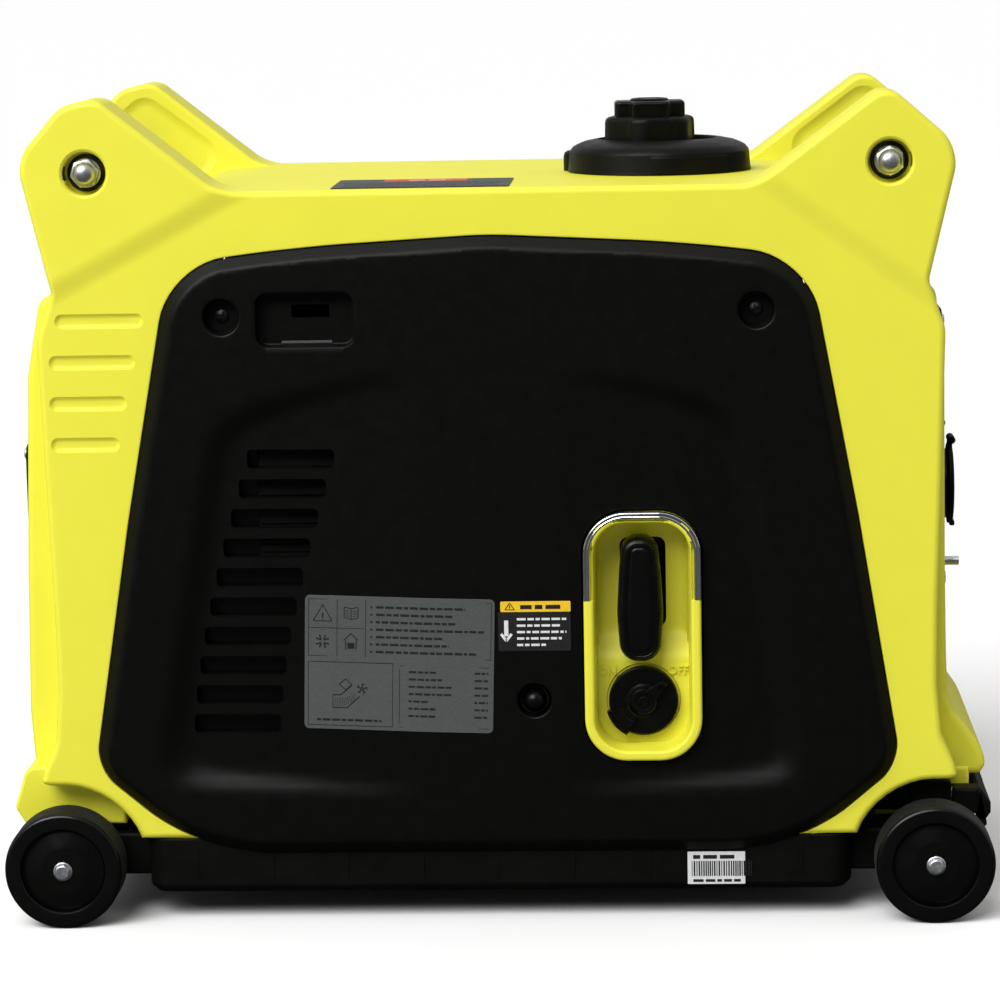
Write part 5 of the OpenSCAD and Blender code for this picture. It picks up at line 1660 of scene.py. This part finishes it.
def makeControlFittings():
    y, z = control["button"]
    button = lathe([(0, -13), (5, -13), (5, -6), (9, -6), (9, 2.4), (8.6, 3.4), (7.6, 4.2), (6.6, 4.6),
                    (5.8, 4.3), (0, 3.9)], 48)
    placed(button, towardFront, shift(y, control["front"], z), frontToControl)
    finishPiece("start_button_cap", button, "buttonGreen", "start_button", ["start_button"],
                35)
    low, high = cadBox("economy_rocker")
    middle = (low + high) / 2
    faceZ, half = middle.z, (high.z - low.z) / 2
    corners = [(274, faceZ - half + 0.9, 0.6), (287.0, faceZ - half, 1.2), (285.6, faceZ, 8),
               (287.0, faceZ + half, 1.2), (274, faceZ + half - 0.9, 0.6)]
    rocker = plate(corners, low.y, high.y, 0.5, 0.5, 6, 2)
    pin = placed(lathe([(0, -30), (1.6, -30), (1.6, 30), (0, 30)], 24), turned(90, "X"),
                 shift(281, middle.y, faceZ))
    rocker = carved(rocker, pin)
    for k in (-1, 1):
        dot = placed(lathe([(0, 0), (1.4, 0), (1.4, 0.3), (0, 0.3)], 20), towardControl,
                     shift(286.2, middle.y, faceZ + 5.4 * k))
        rocker = joined(rocker, painted(dot, 1))
    finishPiece("economy_rocker_cap", rocker, ["knobBlack", "labelWhite"], "economy", ["economy_rocker"],
                35)
    y, z = control["breaker"]
    push = lathe([(0, -15), (5, -15), (5, 3), (4.6, 3.7), (3.8, 4), (0, 4)], 40)
    placed(push, towardFront, shift(y, control["front"], z), frontToControl)
    finishPiece("breaker_push", push, "buttonRed", "breaker", ["breaker_button"], 35)
    low, high = cadBox("meter_window")
    high.x = -control["front"] - 0.6
    lens = rectangle(low.y + 0.2, low.z + 0.2, high.y - 0.2, high.z - 0.2, 2.2)
    glass = painted(plate(lens, -high.x, -low.x, 0.8, 0.2, 6, 3), 0)
    frameRing = stepped(lens, [(-4, -high.x - 0.1), (-4.5, -high.x - 0.1), (-4.5, -high.x + 0.3),
                               (-4, -high.x + 0.3)], 6, closed=True)
    digits = []
    for k in range(4):              # dark segments of an unlit display
        x0 = low.y + 12 + 12 * k
        digits += frameMarks(x0, low.z + 13, x0 + 7.4, low.z + 26.4, 1.1)
        digits.append(mark(x0, low.z + 19.2, x0 + 7.4, low.z + 20.3))
    marks = painted(placed(joined(*digits), shift(0, -high.x, 0)), 1)
    part = joined(glass, painted(frameRing, 1), marks)
    placed(part, frontToControl)
    finishPiece("meter_lens", part, ["meterLens", "labelGrey"], "root", ["meter_window"], 35)


makeControlPanel()
makeSockets()
makeSocketLid("socket_lid_front", -1)
makeSocketLid("socket_lid_rear", 1)
makeControlFittings()
print("control end made")


# carry handles and tow handle

def makeHandleGrips():
    low, high = cadBox("handle_grips")
    parts = []
    for sign in (-1, 1):
        profile = [(5.1, low.y), (9.6, low.y), (11, low.y + 0.8), (11.5, low.y + 2.4)]
        for k in range(-5, 6):
            y = 18 * k
            profile += [(11.5, y - 6.4), (12.7, y - 5.9), (13, y - 5.2), (13, y + 5.2), (12.7, y + 5.9),
                        (11.5, y + 6.4)]
        profile += [(11.5, high.y - 2.4), (11, high.y - 0.8), (9.6, high.y), (5.1, high.y), (5.1, low.y)]
        grips = lathe(profile, 64)
        parts.append(placed(grips, towardRear, shift(sign * earPad["x"], 0, earPad["z"])))
    finishPiece("handle_grip_pair", joined(*parts), "gripRubber", "root", ["handle_grips"], 35)


tow = {"apart": 116, "barHigh": 71, "bottom": 55, "top": 77.6}


def makeTowHandle():
    low, high = cadBox("tow_grip")
    bottom, top = tow["bottom"], tow["top"]
    bar = [(low.x + 15, bottom + 3, 2), (low.x + 20, bottom, 2), (high.x - 5, bottom, 2),
           (high.x, bottom + 7, 2), (high.x, top - 9, 2), (high.x - 6, top, 2), (low.x + 15, top, 2)]
    part = plate(bar, low.y, high.y, 2.5, 2.5, 6, 3)
    for side in (-1, 1):
        y = side * tow["apart"]
        arm = block((288.6, y - 8.5, 61), (306, y + 8.5, top), 2, 3)
        part = carved(part, arm, "UNION")
    for k in range(-6, 7):          # finger ribs on the outside of the grip
        rib = block((high.x - 1, 9 * k - 1.6, 63), (high.x + 0.7, 9 * k + 1.6, 68), 0.6)
        part = joined(part, rib)
    finishPiece("tow_grip_bar", part, "trayBlack", "tow_handle", ["tow_grip"], 35)
    guides = []
    for side in (-1, 1):
        y = side * tow["apart"]
        tube = lathe([(6.2, 62), (8.1, 62), (8.5, 62.6), (8.5, 264), (6.2, 264), (6.2, 62)], 48)
        guides.append(placed(tube, towardControl, shift(0, y, tow["barHigh"])))
        head = block((262, y - 11, 53.6), (288, y + 11, 83), 2.2, 3)
        bore = placed(lathe([(0, 255), (6.4, 255), (6.4, 286.4), (8.0, 288.1), (8.0, 292), (0, 292)], 48),
                      towardControl, shift(0, y, tow["barHigh"]))
        guides.append(carved(head, bore))
        for x in (80, 200):
            guides.append(block((x, y - 5, 21.5), (x + 12, y + 5, 64), 1, 2))
    finishPiece("tow_guide_set", joined(*guides), "trayBlack", "root", ["tow_guides"], 35)


makeHandleGrips()
makeTowHandle()
print("handles made")


# finishes of the parts inside the case

inside = {
    "castAlloy": ["crankcase", "cylinder_barrel", "cylinder_head", "carburettor", "inverter_module"],
    "heatedSteel": ["muffler"],
    "tankPlastic": ["fuel_tank", "battery"],
    "ceramicWhite": ["spark_plug", "recoil_pulley"],
    "copperWire": ["stator"],
    "darkSteel": ["rotor"],
    "trayBlack": ["recoil_housing", "air_cleaner", "breaker_body"],
    "gripRubber": ["engine_mounts"],
    "zincSteel": ["handle_rods", "earth_terminal"],
    "drawnSteel": ["tow_bars"],
}


def finishInside():
    for look, nodes in inside.items():
        for node in nodes:
            for item in scene.objects:
                if item.type == "MESH" and item.name.split(".")[0] == node:
                    item.data.materials.clear()
                    item.data.materials.append(finish[look])


finishInside()
print("inner parts finished")
